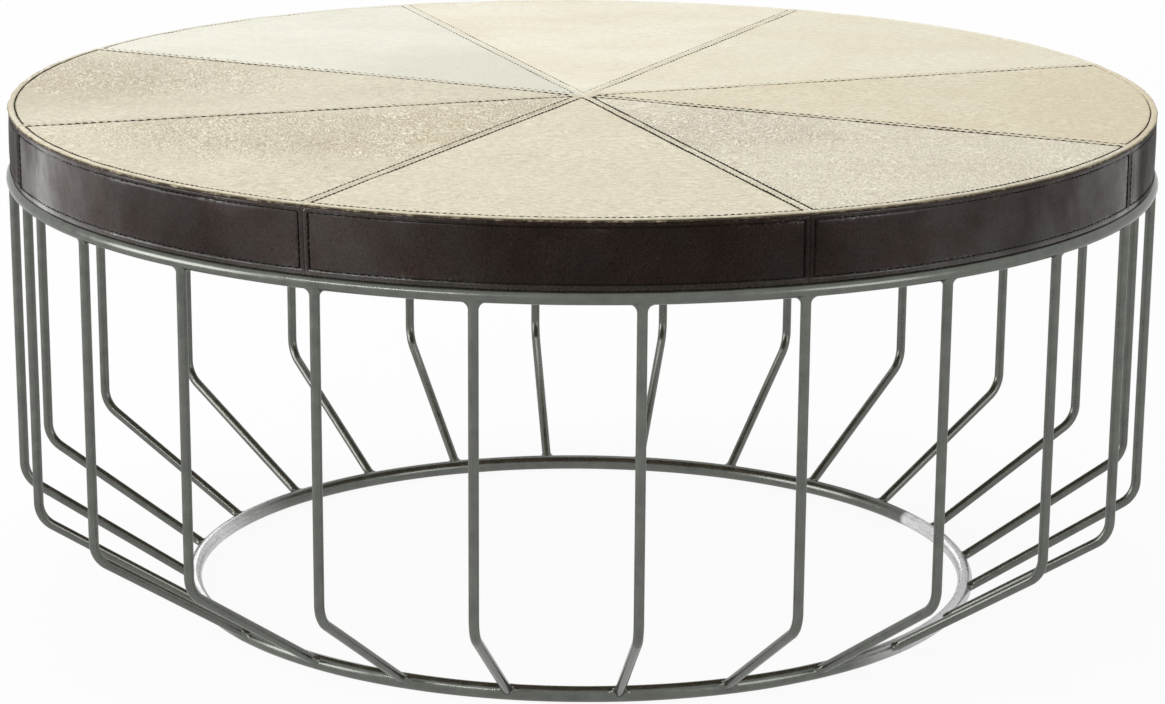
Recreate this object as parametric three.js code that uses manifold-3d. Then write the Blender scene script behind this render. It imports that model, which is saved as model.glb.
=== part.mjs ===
// A round cocktail table: a drum top covered in hide wedges, edged with a sewn leather band, standing on
// an open cage of welded steel rods. Millimetres, +Z up. The origin is on the floor under the middle.
// The front is -Y, and a piece's turn is counted from there towards +X.

import * as THREE from 'three';
import { mergeVertices } from 'three/addons/utils/BufferGeometryUtils.js';
import Module from 'manifold-3d';

const wasm = await Module();
wasm.setup();

// Overall sizes
const overallHeight = 450;
const topRadius = 510; // to the outside of the leather band
const topDepth = 58; // from the face of the hide down to the underside of the rim

// Drum
const wedgeCount = 8;
const hideThickness = 2.5;
const leatherThickness = 2;
const panelThickness = 18;
const rimWidth = 60;
const rimSegmentCount = 4;

// Cage
const legCount = 24;
const upperRodDiameter = 10.5;
const legRodDiameter = 8.6;
const floorRodDiameter = 13;
const floorRingRadius = 354; // to the rod's centreline
const legLean = 3; // how far a leg comes inwards on its way down to the knee
const kneeHeight = 104.5; // where the two straight runs of a leg would meet
const bendRadius = 26; // of the rod's centreline round the knee
const weldRadius = 6.5; // the hollow curve of a weld, from the leg to the ring

// Tabs that hold the drum to the cage
const tabCount = 4;
const tabWidth = 22;
const tabThickness = 4;
const tabReach = 36; // from the upper ring's centreline to the tab's inner end
const screwDiameter = 4.8;
const screwLength = 30; // under the head
const screwPointLength = 5;
const screwHeadDiameter = 9.4;
const screwHeadHeight = 3;

// Clearances
const seatGap = 0.3; // between curved faces that are glued, sewn or welded together
const seamGap = 0.3; // between the edges of two hides, two band panels or two rim segments
const holeClearance = 0.35; // all round a screw
const cutOverrun = 1; // how far a cutting shape runs past the face it opens

// Facets
const ringSegments = 96;
const rodSides = 12;
const legSides = 8;
const bendSteps = 4;
const screwSides = 12;

// Shares of the weld's radius at which a leg has a section, counted from the ring's face
const weldShares = [0, 0.3, 1];

// The screw head's dome: shares of its radius and of its height, from the rim to the crown
const domeShares = [[1, 0.4], [0.82, 0.75], [0.45, 1]];

// Sizes that follow from those above
const facetAngle = 2 * Math.PI / ringSegments;
const upperRodRadius = upperRodDiameter / 2;
const legRodRadius = legRodDiameter / 2;
const floorRodRadius = floorRodDiameter / 2;
const rimUnderside = overallHeight - topDepth;
const bandDepth = topDepth - hideThickness;
const rimDepth = bandDepth - panelThickness;
const bandInnerRadius = topRadius - leatherThickness;
const coreRadius = bandInnerRadius - seatGap; // of the top panel and the rim
const upperRingRadius = bandInnerRadius; // so that the rim and the band both rest on the ring
const upperRingHeight = rimUnderside - flatRadius(upperRodRadius);
const floorRingHeight = flatRadius(floorRodRadius);
const screwPlace = upperRingRadius - tabReach + tabWidth / 2; // the middle of the tab's round end

// From the middle of a ring's section to the small flats at its top and bottom
function flatRadius(rodRadius) {
  return rodRadius * Math.cos(Math.PI / rodSides);
}

// Finishes, as the photograph shows them
const finishes = {
  steel: { color: 0x63665f, roughness: 0.38, metalness: 0.75 },
  zinc: { color: 0xb4b6b4, roughness: 0.35, metalness: 0.9 },
  board: { color: 0xb28f63, roughness: 0.85, metalness: 0 },
  leather: { color: 0x35251f, roughness: 0.42, metalness: 0 },
  paleHide: { color: 0xe0d8c2, roughness: 0.8, metalness: 0 },
  tanHide: { color: 0xd8cba9, roughness: 0.85, metalness: 0 },
};

function makeMesh(name, geometry, finish, turn = 0) {
  const mesh = new THREE.Mesh(geometry, new THREE.MeshStandardMaterial(finishes[finish]));
  mesh.name = name;
  mesh.rotation.z = turn;
  return mesh;
}

// Calls make once for each of count places round the table. The first is turned by firstTurn from the
// front, and every shape is drawn along +X, a quarter turn past the front.
function placeAround(count, firstTurn, make) {
  const pitch = 2 * Math.PI / count;
  for (let index = 0; index < count; index += 1) {
    make(firstTurn + index * pitch - Math.PI / 2, index + 1);
  }
}

// Solids for cutting

function solidOf(geometry) {
  const plain = geometry.clone();
  plain.deleteAttribute('normal');
  plain.deleteAttribute('uv');
  const merged = mergeVertices(plain);
  const vertProperties = Float32Array.from(merged.attributes.position.array);
  const triVerts = Uint32Array.from(merged.index.array);
  return new wasm.Manifold(new wasm.Mesh({ numProp: 3, vertProperties, triVerts }));
}

function geometryOf(solid) {
  const mesh = solid.getMesh();
  const geometry = new THREE.BufferGeometry();
  geometry.setAttribute('position', new THREE.BufferAttribute(mesh.vertProperties, 3));
  geometry.setIndex(new THREE.BufferAttribute(mesh.triVerts, 1));
  geometry.computeVertexNormals();
  return geometry;
}

function cutFrom(geometry, cutters) {
  let solid = solidOf(geometry);
  for (const cutter of cutters) {
    solid = solid.subtract(solidOf(cutter));
  }
  return geometryOf(solid);
}

// Rings

// A closed ring of rod. Its section has a flat at the top and at the bottom, so the drum can rest on it
// and it can rest on the floor.
function ringGeometry(ringRadius, height, rodRadius) {
  const section = [];
  for (let side = 0; side <= rodSides; side += 1) {
    const angle = (side + 0.5) * 2 * Math.PI / rodSides;
    const x = ringRadius + rodRadius * Math.cos(angle);
    const y = height + rodRadius * Math.sin(angle);
    section.push(new THREE.Vector2(x, y));
  }
  section[rodSides].copy(section[0]);
  const geometry = new THREE.LatheGeometry(section, ringSegments);
  return geometry.rotateX(Math.PI / 2);
}

const upperRing = ringGeometry(upperRingRadius, upperRingHeight, upperRodRadius);
const floorRing = ringGeometry(floorRingRadius, floorRingHeight, floorRodRadius);

// The same rings a gap larger, which cut the ends of what is welded to them
const upperRingCutter = ringGeometry(upperRingRadius, upperRingHeight, upperRodRadius + seatGap);
const floorRingCutter = ringGeometry(floorRingRadius, floorRingHeight, floorRodRadius + seatGap);

// Legs

// A leg's centreline, in the upright plane through +X: down from the middle of the upper ring's rod,
// round the knee, and in to the middle of the floor ring's rod. Its points are the places where the leg
// has a section, so they lie close together at the welds and round the knee.
class LegCentreline extends THREE.Curve {
  constructor() {
    super();
    this.top = new THREE.Vector2(upperRingRadius, upperRingHeight);
    this.foot = new THREE.Vector2(floorRingRadius, floorRingHeight);
    const knee = new THREE.Vector2(upperRingRadius - legLean, kneeHeight);
    this.down = knee.clone().sub(this.top).normalize();
    this.inwards = this.foot.clone().sub(knee).normalize();
    this.turn = this.down.angleTo(this.inwards);
    const tangentLength = bendRadius * Math.tan(this.turn / 2);
    this.uprightRun = knee.distanceTo(this.top) - tangentLength;
    this.slopingRun = this.foot.distanceTo(knee) - tangentLength;
    this.bendLength = bendRadius * this.turn;
    const along = this.down.dot(this.inwards);
    this.side = this.inwards.clone().addScaledVector(this.down, -along).normalize();
    this.bendCentre = this.top.clone().addScaledVector(this.down, this.uprightRun);
    this.bendCentre.addScaledVector(this.side, bendRadius);
    this.stations = this.findStations();
  }

  findStations() {
    const length = this.uprightRun + this.bendLength + this.slopingRun;
    const stations = [0];
    for (const share of weldShares) {
      stations.push(upperRodRadius + share * weldRadius);
    }
    for (let step = 0; step <= bendSteps; step += 1) {
      stations.push(this.uprightRun + this.bendLength * step / bendSteps);
    }
    for (const share of weldShares.toReversed()) {
      stations.push(length - floorRodRadius - share * weldRadius);
    }
    stations.push(length);
    return stations;
  }

  // How far round the bend a place is, as an angle, and how far past the bend it is, as a length
  placeOf(t) {
    const station = this.stations[Math.round(t * (this.stations.length - 1))];
    const past = station - this.uprightRun;
    const angle = THREE.MathUtils.clamp(past / bendRadius, 0, this.turn);
    return { angle, before: Math.min(past, 0), after: Math.max(past - this.bendLength, 0) };
  }

  directionAt(angle) {
    const direction = this.down.clone().multiplyScalar(Math.cos(angle));
    return direction.addScaledVector(this.side, Math.sin(angle));
  }

  getPoint(t, target = new THREE.Vector3()) {
    const { angle, before, after } = this.placeOf(t);
    const point = this.bendCentre.clone().addScaledVector(this.side, -bendRadius * Math.cos(angle));
    point.addScaledVector(this.down, bendRadius * Math.sin(angle));
    point.addScaledVector(this.directionAt(angle), before + after);
    return target.set(point.x, 0, point.y);
  }

  getTangent(t, target = new THREE.Vector3()) {
    const direction = this.directionAt(this.placeOf(t).angle);
    return target.set(direction.x, 0, direction.y);
  }

  getPointAt(u, target) {
    return this.getPoint(u, target);
  }

  getTangentAt(u, target) {
    return this.getTangent(u, target);
  }

  // How far a point is from the nearer ring's face, measured along the leg
  distanceFromRing(x, z) {
    const point = new THREE.Vector2(x, z);
    const fromTop = point.clone().sub(this.top).dot(this.down) - upperRodRadius;
    const fromFoot = this.foot.clone().sub(point).dot(this.inwards) - floorRodRadius;
    return Math.min(fromTop, fromFoot);
  }
}

// Half the leg's width along the ring: the rod's own radius, and near a ring the hollow curve of the weld
function widthAtWeld(distance) {
  const rise = THREE.MathUtils.clamp(weldRadius - distance, 0, weldRadius);
  return legRodRadius + weldRadius - Math.sqrt(weldRadius ** 2 - rise ** 2);
}

function legGeometry() {
  const outline = [];
  for (let side = 0; side < legSides; side += 1) {
    const angle = (side + 0.5) * 2 * Math.PI / legSides;
    outline.push(new THREE.Vector2(legRodRadius * Math.cos(angle), legRodRadius * Math.sin(angle)));
  }
  const centreline = new LegCentreline();
  const steps = centreline.stations.length - 1;
  const rod = new THREE.ExtrudeGeometry(new THREE.Shape(outline), { extrudePath: centreline, steps });
  const position = rod.attributes.position;
  for (let index = 0; index < position.count; index += 1) {
    const distance = centreline.distanceFromRing(position.getX(index), position.getZ(index));
    position.setY(index, position.getY(index) * widthAtWeld(distance) / legRodRadius);
  }
  return cutFrom(rod, [upperRingCutter, floorRingCutter]);
}

// Tabs and screws

// A flat bar from the upper ring inwards, with a round end and a hole, level with the top of the ring
function tabGeometry() {
  const halfWidth = tabWidth / 2;
  const outline = new THREE.Shape();
  outline.moveTo(upperRingRadius, -halfWidth);
  outline.lineTo(upperRingRadius, halfWidth);
  outline.lineTo(screwPlace, halfWidth);
  outline.absarc(screwPlace, 0, halfWidth, Math.PI / 2, 3 * Math.PI / 2, false);
  const hole = new THREE.Path();
  hole.absarc(screwPlace, 0, screwDiameter / 2 + holeClearance, 0, 2 * Math.PI, true);
  outline.holes.push(hole);
  const bar = new THREE.ExtrudeGeometry(outline, {
    depth: tabThickness,
    bevelEnabled: false,
    curveSegments: screwSides / 2,
  });
  bar.translate(0, 0, rimUnderside - tabThickness);
  return cutFrom(bar, [upperRingCutter]);
}

// A round-headed screw, point up, with its head against the underside of the tab
function screwGeometry() {
  const headRadius = screwHeadDiameter / 2;
  const shankRadius = screwDiameter / 2;
  const profile = [new THREE.Vector2(0, -screwHeadHeight)];
  for (const [radiusShare, heightShare] of domeShares.toReversed()) {
    profile.push(new THREE.Vector2(headRadius * radiusShare, -screwHeadHeight * heightShare));
  }
  profile.push(new THREE.Vector2(headRadius, 0));
  profile.push(new THREE.Vector2(shankRadius, 0));
  profile.push(new THREE.Vector2(shankRadius, screwLength - screwPointLength));
  profile.push(new THREE.Vector2(0, screwLength));
  const screw = new THREE.LatheGeometry(profile, screwSides);
  screw.rotateX(Math.PI / 2);
  return screw.translate(screwPlace, 0, rimUnderside - tabThickness);
}

// Drum

// A flat sector centred on +X, held back by half a gap from each neighbour. With no inner radius it is
// a wedge that comes to a point.
function sectorGeometry(innerRadius, outerRadius, count, depth, gap) {
  const halfSweep = Math.PI / count;
  const steps = Math.round(2 * halfSweep / facetAngle);
  const arcPoints = (radius) => {
    const limit = halfSweep - Math.asin(gap / 2 / radius);
    const points = [];
    for (let step = 0; step <= steps; step += 1) {
      const angle = THREE.MathUtils.clamp(halfSweep * (2 * step / steps - 1), -limit, limit);
      points.push(new THREE.Vector2(radius * Math.cos(angle), radius * Math.sin(angle)));
    }
    return points;
  };
  const point = new THREE.Vector2(gap / 2 / Math.sin(halfSweep), 0);
  const inner = innerRadius > 0 ? arcPoints(innerRadius).reverse() : [point];
  const outline = new THREE.Shape([...arcPoints(outerRadius), ...inner]);
  return new THREE.ExtrudeGeometry(outline, { depth, bevelEnabled: false });
}

// A quarter of the build-up ring, with the screw's hole from below in its middle
function rimGeometry() {
  const block = sectorGeometry(coreRadius - rimWidth, coreRadius, rimSegmentCount, rimDepth, seamGap);
  const holeRadius = screwDiameter / 2 + holeClearance;
  const holeDepth = screwLength - tabThickness + cutOverrun;
  const hole = new THREE.CylinderGeometry(holeRadius, holeRadius, holeDepth + cutOverrun, screwSides);
  hole.rotateX(Math.PI / 2);
  hole.translate(screwPlace, 0, (holeDepth - cutOverrun) / 2);
  return cutFrom(block, [hole]);
}

function panelGeometry() {
  const panel = new THREE.CylinderGeometry(coreRadius, coreRadius, panelThickness, ringSegments);
  panel.rotateX(Math.PI / 2);
  return panel.translate(0, 0, rimDepth + panelThickness / 2);
}

// The cage

function makeCage() {
  const cage = new THREE.Group();
  cage.add(makeMesh('upper_ring', upperRing, 'steel'));
  cage.add(makeMesh('floor_ring', floorRing, 'steel'));
  const leg = legGeometry();
  placeAround(legCount, Math.PI / legCount, (turn, number) => {
    cage.add(makeMesh(`leg_${String(number).padStart(2, '0')}`, leg, 'steel', turn));
  });
  const tab = tabGeometry();
  const screw = screwGeometry();
  placeAround(tabCount, 0, (turn, number) => {
    cage.add(makeMesh(`top_tab_${number}`, tab, 'steel', turn));
    cage.add(makeMesh(`tab_screw_${number}`, screw, 'zinc', turn));
  });
  return cage;
}

// The drum, drawn from the underside of its rim upwards

function makeDrum() {
  const drum = new THREE.Group();
  drum.position.z = rimUnderside;
  drum.add(makeMesh('top_panel', panelGeometry(), 'board'));
  const rim = rimGeometry();
  placeAround(rimSegmentCount, 0, (turn, number) => {
    drum.add(makeMesh(`rim_segment_${number}`, rim, 'board', turn));
  });
  const band = sectorGeometry(bandInnerRadius, topRadius, wedgeCount, bandDepth, seamGap);
  const wedge = sectorGeometry(0, topRadius, wedgeCount, hideThickness, seamGap);
  wedge.translate(0, 0, bandDepth);
  placeAround(wedgeCount, 0, (turn, number) => {
    drum.add(makeMesh(`band_panel_${number}`, band, 'leather', turn));
    drum.add(makeMesh(`hide_wedge_${number}`, wedge, number % 2 ? 'paleHide' : 'tanHide', turn));
  });
  return drum;
}

const table = new THREE.Group();
table.add(makeCage(), makeDrum());

export default table;
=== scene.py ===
import math

import bpy
import numpy as np
from mathutils import Matrix, Vector


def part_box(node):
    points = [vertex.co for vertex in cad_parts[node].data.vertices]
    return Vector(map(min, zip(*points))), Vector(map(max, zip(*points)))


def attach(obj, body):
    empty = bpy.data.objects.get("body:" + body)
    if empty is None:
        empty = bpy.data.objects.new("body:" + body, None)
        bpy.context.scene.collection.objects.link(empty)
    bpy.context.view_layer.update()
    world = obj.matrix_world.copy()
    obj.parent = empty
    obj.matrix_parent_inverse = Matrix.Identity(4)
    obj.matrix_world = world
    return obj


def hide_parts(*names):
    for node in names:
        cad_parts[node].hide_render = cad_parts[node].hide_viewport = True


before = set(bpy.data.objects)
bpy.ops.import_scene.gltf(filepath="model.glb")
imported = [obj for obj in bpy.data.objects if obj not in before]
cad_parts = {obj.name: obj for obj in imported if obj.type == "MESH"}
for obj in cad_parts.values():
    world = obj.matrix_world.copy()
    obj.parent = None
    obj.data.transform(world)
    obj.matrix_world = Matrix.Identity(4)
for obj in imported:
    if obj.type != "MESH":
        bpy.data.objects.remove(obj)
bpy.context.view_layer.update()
print("frame loaded with", len(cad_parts), "nodes")

# Sizes are in metres. A turn round the table is counted from the front, which is -Y, towards +X.
mm = 0.001
wholeTurn = 2 * math.pi
quarterTurn = math.pi / 2

wedgeLow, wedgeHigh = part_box("hide_wedge_1")
bandLow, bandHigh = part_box("band_panel_1")
upperLow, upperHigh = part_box("upper_ring")
floorLow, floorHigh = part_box("floor_ring")
boardLow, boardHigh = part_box("top_panel")
rimLow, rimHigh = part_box("rim_segment_1")
tabLow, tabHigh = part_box("top_tab_1")
screwLow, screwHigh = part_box("tab_screw_1")

drum = {
    "topHeight": wedgeHigh.z,
    "hideUnderside": wedgeLow.z,
    "underside": bandLow.z,
    "radius": -wedgeLow.y,
    "wedges": 8,
    "seamGap": 0.3 * mm,
}

# Camera

photoCamera = {
    "lens": 127.36,
    "distance": 3.6334,  # from the table's axis
    "height": 1.1478,
    "turn": 2.1,  # degrees round the table
    "pitch": 14.439,
    "roll": 0.386,
    "aside": 0.02,
}


# The camera stands at a distance and a height, faces the axis, and is then turned aside, tilted and rolled
def makeCamera(c):
    data = bpy.data.cameras.new("photoCamera")
    data.lens = c["lens"]
    data.clip_start = 0.05
    data.clip_end = 200
    camera = bpy.data.objects.new("photoCamera", data)
    bpy.context.scene.collection.objects.link(camera)
    turn = math.radians(c["turn"])
    place = Vector((c["distance"] * math.sin(turn), -c["distance"] * math.cos(turn), c["height"]))
    facing = Matrix.Rotation(turn - math.radians(c["aside"]), 4, "Z")
    tilt = Matrix.Rotation(quarterTurn - math.radians(c["pitch"]), 4, "X")
    roll = Matrix.Rotation(math.radians(c["roll"]), 4, "Z")
    camera.matrix_world = Matrix.Translation(place) @ facing @ tilt @ roll
    bpy.context.scene.camera = camera


makeCamera(photoCamera)
print("camera placed")

# Meshes


# A mesh from its points and faces. The sum over the faces of corner . (corner x corner) is positive when
# they point outwards, and otherwise they are turned over.
def addPiece(name, points, faces, material, nodes, sharpAngle=50, values=None, uv=None):
    points = points.reshape(-1, 3)
    a, b, c, d = (points[faces[:, k]] for k in range(4))
    if np.einsum("ij,ij->i", a, np.cross(b, c) + np.cross(c, d)).sum() < 0:
        faces = faces[:, ::-1]
    mesh = bpy.data.meshes.new(name)
    mesh.from_pydata(points.tolist(), [], [list(dict.fromkeys(f)) for f in faces.tolist()])
    mesh.polygons.foreach_set("use_smooth", np.ones(len(faces), bool))
    mesh.set_sharp_from_angle(angle=math.radians(sharpAngle))
    for key, value in (values or {}).items():
        attribute = mesh.attributes.new(key, "FLOAT", "POINT")
        attribute.data.foreach_set("value", value.astype(np.float32).ravel())
    if uv is not None:
        corners = np.zeros(len(mesh.loops), int)
        mesh.loops.foreach_get("vertex_index", corners)
        layer = mesh.uv_layers.new(name="along")
        layer.uv.foreach_set("vector", uv.astype(np.float32).reshape(-1, 2)[corners].ravel())
    mesh.materials.append(material)
    piece = bpy.data.objects.new(name, mesh)
    bpy.context.scene.collection.objects.link(piece)
    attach(piece, "root")
    if nodes:
        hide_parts(*nodes)


# Quads between neighbouring points of a grid. A closed direction joins its last line to its first.
def gridFaces(rows, columns, closeRows=False, closeColumns=False):
    index = np.arange(rows * columns).reshape(rows, columns)
    if closeRows:
        index = np.concatenate([index, index[:1]], 0)
    if closeColumns:
        index = np.concatenate([index, index[:, :1]], 1)
    quads = [index[:-1, :-1], index[:-1, 1:], index[1:, 1:], index[1:, :-1]]
    return np.stack(quads, -1).reshape(-1, 4)


# A tube's points or values: its grid, whose rows are closed sections, and the middles of its two ends
def tubePoints(grid):
    flat = grid.reshape(grid.shape[0] * grid.shape[1], -1)
    return np.concatenate([flat, grid[0].mean(0).reshape(1, -1), grid[-1].mean(0).reshape(1, -1)])


# A tube is a closed grid, with a fan to its middle at each end
def addTube(name, grid, material, nodes, sharpAngle=50, values=None, uv=None):
    rows, columns = grid.shape[:2]
    last = np.arange(columns)
    after = np.roll(last, -1)
    first = np.full(columns, rows * columns)
    start = np.stack([after, last, first, first], -1)
    end = np.stack([last, after, first + 1, first + 1], -1) + np.array([1, 1, 0, 0]) * (rows - 1) * columns
    faces = np.concatenate([gridFaces(rows, columns, closeColumns=True), start, end])
    values = {key: tubePoints(value) for key, value in (values or {}).items()}
    uv = None if uv is None else tubePoints(uv)
    addPiece(name, tubePoints(grid), faces, material, nodes, sharpAngle, values, uv)


# Two sheets on one grid make a closed shell: the face sheet's quads, the back sheet's quads turned over,
# and a strip of quads round the border.
def shellFaces(rows, columns):
    face = gridFaces(rows, columns)
    count = rows * columns
    index = np.arange(count).reshape(rows, columns)
    border = np.concatenate([index[0, :-1], index[:-1, -1], index[-1, :0:-1], index[:0:-1, 0]])
    after = np.roll(border, -1)
    strip = np.stack([after, border, border + count, after + count], -1)
    return np.concatenate([face, face[:, ::-1] + count, strip])


# Numbers or grids joined into the last direction of one grid
def together(*parts):
    return np.stack(np.broadcast_arrays(*parts), -1)


# A point at a radius, a turn from the front and a height
def around(radius, turn, height):
    return together(radius * np.sin(turn), -radius * np.cos(turn), height)


# Points given as outwards, sideways and upwards from the table's axis, brought to a turn round it
def brought(turn, out, aside, up):
    sine, cosine = math.sin(turn), math.cos(turn)
    return together(out * sine + aside * cosine, aside * sine - out * cosine, up)


# Smooth unevenness about zero: the sum of sine waves, each with its own direction, length and phase
def unevenness(points, waveLength, seed, waves=9):
    draw = np.random.default_rng(seed)
    way = draw.normal(size=(waves, points.shape[-1]))
    way /= np.linalg.norm(way, axis=1)[:, None]
    way *= (wholeTurn / (waveLength * draw.uniform(0.6, 1.7, waves)))[:, None]
    phase = draw.uniform(0, wholeTurn, waves)
    return np.sin(points @ way.T + phase).sum(-1) / math.sqrt(waves)


# The seams are cut and sewn by hand, so some stand a little to one side of their eighth, and two seams of
# the band lean. A turn is moved by the shifts of the two seams beside it, in proportion, and by their
# leans times its drop, the share of the band's depth that it lies below the top.
seamShifts = np.radians([0.2, 0, -1.0, 0, 0.4, -0.6, -2.4, -1.05])
seamLeans = np.radians([0, 0, 0, 0, 0, 0, 0.45, 0.22])


def handCut(turn, drop=0.0):
    seams = (np.arange(drum["wedges"]) + 0.5) * wholeTurn / drum["wedges"]
    lean = drop * np.interp(turn, seams, seamLeans, period=wholeTurn)
    return turn + np.interp(turn, seams, seamShifts, period=wholeTurn) + lean


# How far a rounded edge has dropped at a distance from it: r - sqrt(r^2 - (r - distance)^2)
def edgeDrop(distance, radius):
    inside = np.clip(radius - distance, 0, radius)
    return radius - np.sqrt(radius ** 2 - inside ** 2)


# Numbers from a to b, close together at a: a + (b - a) share^power
def easedFrom(a, b, count, power):
    return a + (b - a) * np.linspace(0, 1, count) ** power


# A closed direction's equal turns
def turnsRound(count):
    return np.linspace(0, wholeTurn, count, endpoint=False)


# What rises from one edge, and its mirror image towards the other edge
def mirrored(near, far):
    return np.concatenate([near, far[-2::-1]])


# Shader parts


# A tree of shader nodes. Its results are the inputs that end it: a group's outputs or a shader's inputs.
class Tree:
    def __init__(self, tree, results=None):
        self.tree = tree
        self.results = results

    # a new node with its settings and with what goes into it
    def add(self, kind, inputs=None, **settings):
        node = self.tree.nodes.new("ShaderNode" + kind)
        for key, value in settings.items():
            setattr(node, key, value)
        for key, value in (inputs or {}).items():
            self.feed(node.inputs[key], value)
        return node

    # a link from a socket, or a plain value, to which a colour's fourth number is added
    def feed(self, target, value):
        if isinstance(value, bpy.types.NodeSocket):
            self.tree.links.new(value, target)
        elif hasattr(value, "__len__") and target.type == "RGBA":
            target.default_value = (*value, 1)
        else:
            target.default_value = value

    # what goes into the results by name, with _ for a space
    def give(self, **values):
        for key, value in values.items():
            self.feed(self.results[key.replace("_", " ")], value)
        return self.tree

    # one of the Math node's sums
    def math(self, operation, *values):
        return self.add("Math", dict(enumerate(values)), operation=operation).outputs[0]

    # a times b
    def times(self, a, b):
        return self.math("MULTIPLY", a, b)

    # a plus b
    def plus(self, a, b):
        return self.math("ADD", a, b)

    # one of the Vector Math node's sums
    def vector(self, operation, inputs, output=0):
        return self.add("VectorMath", inputs, operation=operation).outputs[output]

    # a place moved by an amount times a colour's distance from grey
    def pushed(self, place, colour, amount):
        offset = self.vector("SUBTRACT", {0: colour, 1: (0.5, 0.5, 0.5)})
        return self.vector("ADD", {0: place, 1: self.vector("SCALE", {0: offset, "Scale": amount})})

    # colours as a (1 - factor) + b factor, unless another blend is named
    def mix(self, factor, a, b, blend="MIX"):
        return self.add("Mix", {0: factor, 6: a, 7: b}, data_type="RGBA", blend_type=blend).outputs[2]

    # numbers as a (1 - factor) + b factor
    def mixNumbers(self, factor, a, b):
        return self.add("Mix", {0: factor, 2: a, 3: b}).outputs[0]

    # a value's share of the way from one number to another, carried to two others and held there
    def spread(self, value, fromLow, fromHigh, toLow=0.0, toHigh=1.0):
        ends = {"From Min": fromLow, "From Max": fromHigh, "To Min": toLow, "To Max": toHigh}
        return self.add("MapRange", {"Value": value, **ends}).outputs[0]

    # a noise texture in a place, with its octaves, roughness and distortion
    def noise(self, vector, scale, detail=3.0, rough=0.5, bend=0.0, output="Fac"):
        places = {"Vector": vector, "Scale": scale, "Detail": detail, "Roughness": rough, "Distortion": bend}
        return self.add("TexNoise", places).outputs[output]

    # a place turned about Z and scaled, so that a pattern is drawn out where its scale is small
    def stretched(self, vector, turn, scale):
        return self.add("Mapping", {"Vector": vector, "Rotation": (0, 0, turn), "Scale": scale}).outputs[0]

    # a value that the mesh carries at its points
    def carried(self, name):
        return self.add("Attribute", attribute_name=name).outputs["Fac"]

    # the mesh's own way along and round it
    def lengthwise(self):
        return self.add("UVMap", uv_map="along").outputs[0]

    # a group of nodes at work in this tree
    def group(self, kind, **inputs):
        return self.add("Group", inputs, node_tree=kind).outputs

    # the pull of the mesh's stitches up to a reach in mm
    def sewn(self, reach):
        return self.group(sewnGroup, Line=self.carried("line"), Count=self.carried("stitch"), Reach=reach)

    # a normal tilted by the slopes of a height
    def bump(self, height, strength, distance):
        return self.add("Bump", {"Height": height, "Strength": strength, "Distance": distance}).outputs[0]


# A group of nodes. Each input is given by its plain number or by its kind.
def makeGroup(name, inputs, outputs):
    group = bpy.data.node_groups.new(name, "ShaderNodeTree")
    for key, value in inputs.items():
        kind = value if isinstance(value, str) else "Float"
        socket = group.interface.new_socket(key, in_out="INPUT", socket_type="NodeSocket" + kind)
        if kind == "Float":
            socket.default_value = value
    for key in outputs:
        kind = "Color" if key == "Color" else "Float"
        group.interface.new_socket(key, in_out="OUTPUT", socket_type="NodeSocket" + kind)
    given = group.nodes.new("NodeGroupInput").outputs
    return Tree(group, group.nodes.new("NodeGroupOutput").inputs), given


# A new material, its tree, which ends in its shader, and the object's own coordinates
def startMaterial(name):
    material = bpy.data.materials.new(name)
    material.use_nodes = True
    tree = Tree(material.node_tree, material.node_tree.nodes["Principled BSDF"].inputs)
    return material, tree, tree.add("TexCoord").outputs["Object"]


# Short hair along X. Its lie bends with a slow swirl: place + 0.1 (swirl - 0.5). Dashes are noise drawn out
# along it, and fine is noise drawn out across it: the strokes are the one mixed into the other by the curl.
# Curls are strands across the hair, from noise drawn out the other way whose place is pushed about by a
# smaller swirl, 0.004 (swirl - 0.5). They lean to one side or the other by turns.
def makeHairGroup():
    inputs = {"Vector": "Vector", "Turn": "Vector", "Curl": 0.0}
    tree, given = makeGroup("shortHair", inputs, ["Strokes", "Curls", "Clouds", "Height"])
    turned = tree.add("Mapping", {"Vector": given["Vector"], "Rotation": given["Turn"]}).outputs[0]
    flow = tree.pushed(turned, tree.noise(turned, 8.0, output="Color"), 0.1)
    dashes = tree.noise(tree.stretched(flow, 0.0, (0.4, 1.0, 1.0)), 330.0, 3.0, 0.7, 0.3)
    fine = tree.noise(tree.stretched(flow, 0.0, (0.85, 0.13, 1.0)), 900.0, 2.0, 0.6, 0.3)
    strokes = tree.mixNumbers(tree.spread(given["Curl"], 0.0, 0.3, 0.22, 0.6), dashes, fine)
    curly = tree.pushed(flow, tree.noise(turned, 48.0, 2.0, output="Color"), 0.004)
    leftwards = tree.noise(tree.stretched(curly, 0.13, (1.0, 0.075, 1.0)), 860.0, 2.0, 0.6)
    rightwards = tree.noise(tree.stretched(curly, -0.12, (1.0, 0.08, 1.0)), 820.0, 2.0, 0.6)
    side = tree.spread(tree.noise(turned, 75.0, 2.0), 0.46, 0.54)
    curls = tree.spread(tree.mixNumbers(side, leftwards, rightwards), 0.425, 0.575)
    low = tree.times(strokes, 0.5)
    height = tree.mixNumbers(given["Curl"], low, tree.plus(tree.times(curls, 0.55), low))
    clouds = tree.noise(tree.stretched(flow, 0.0, (0.5, 1.0, 1.0)), 11.0, 5.0, 0.6)
    return tree.give(Strokes=strokes, Curls=curls, Clouds=clouds, Height=height)


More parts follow.
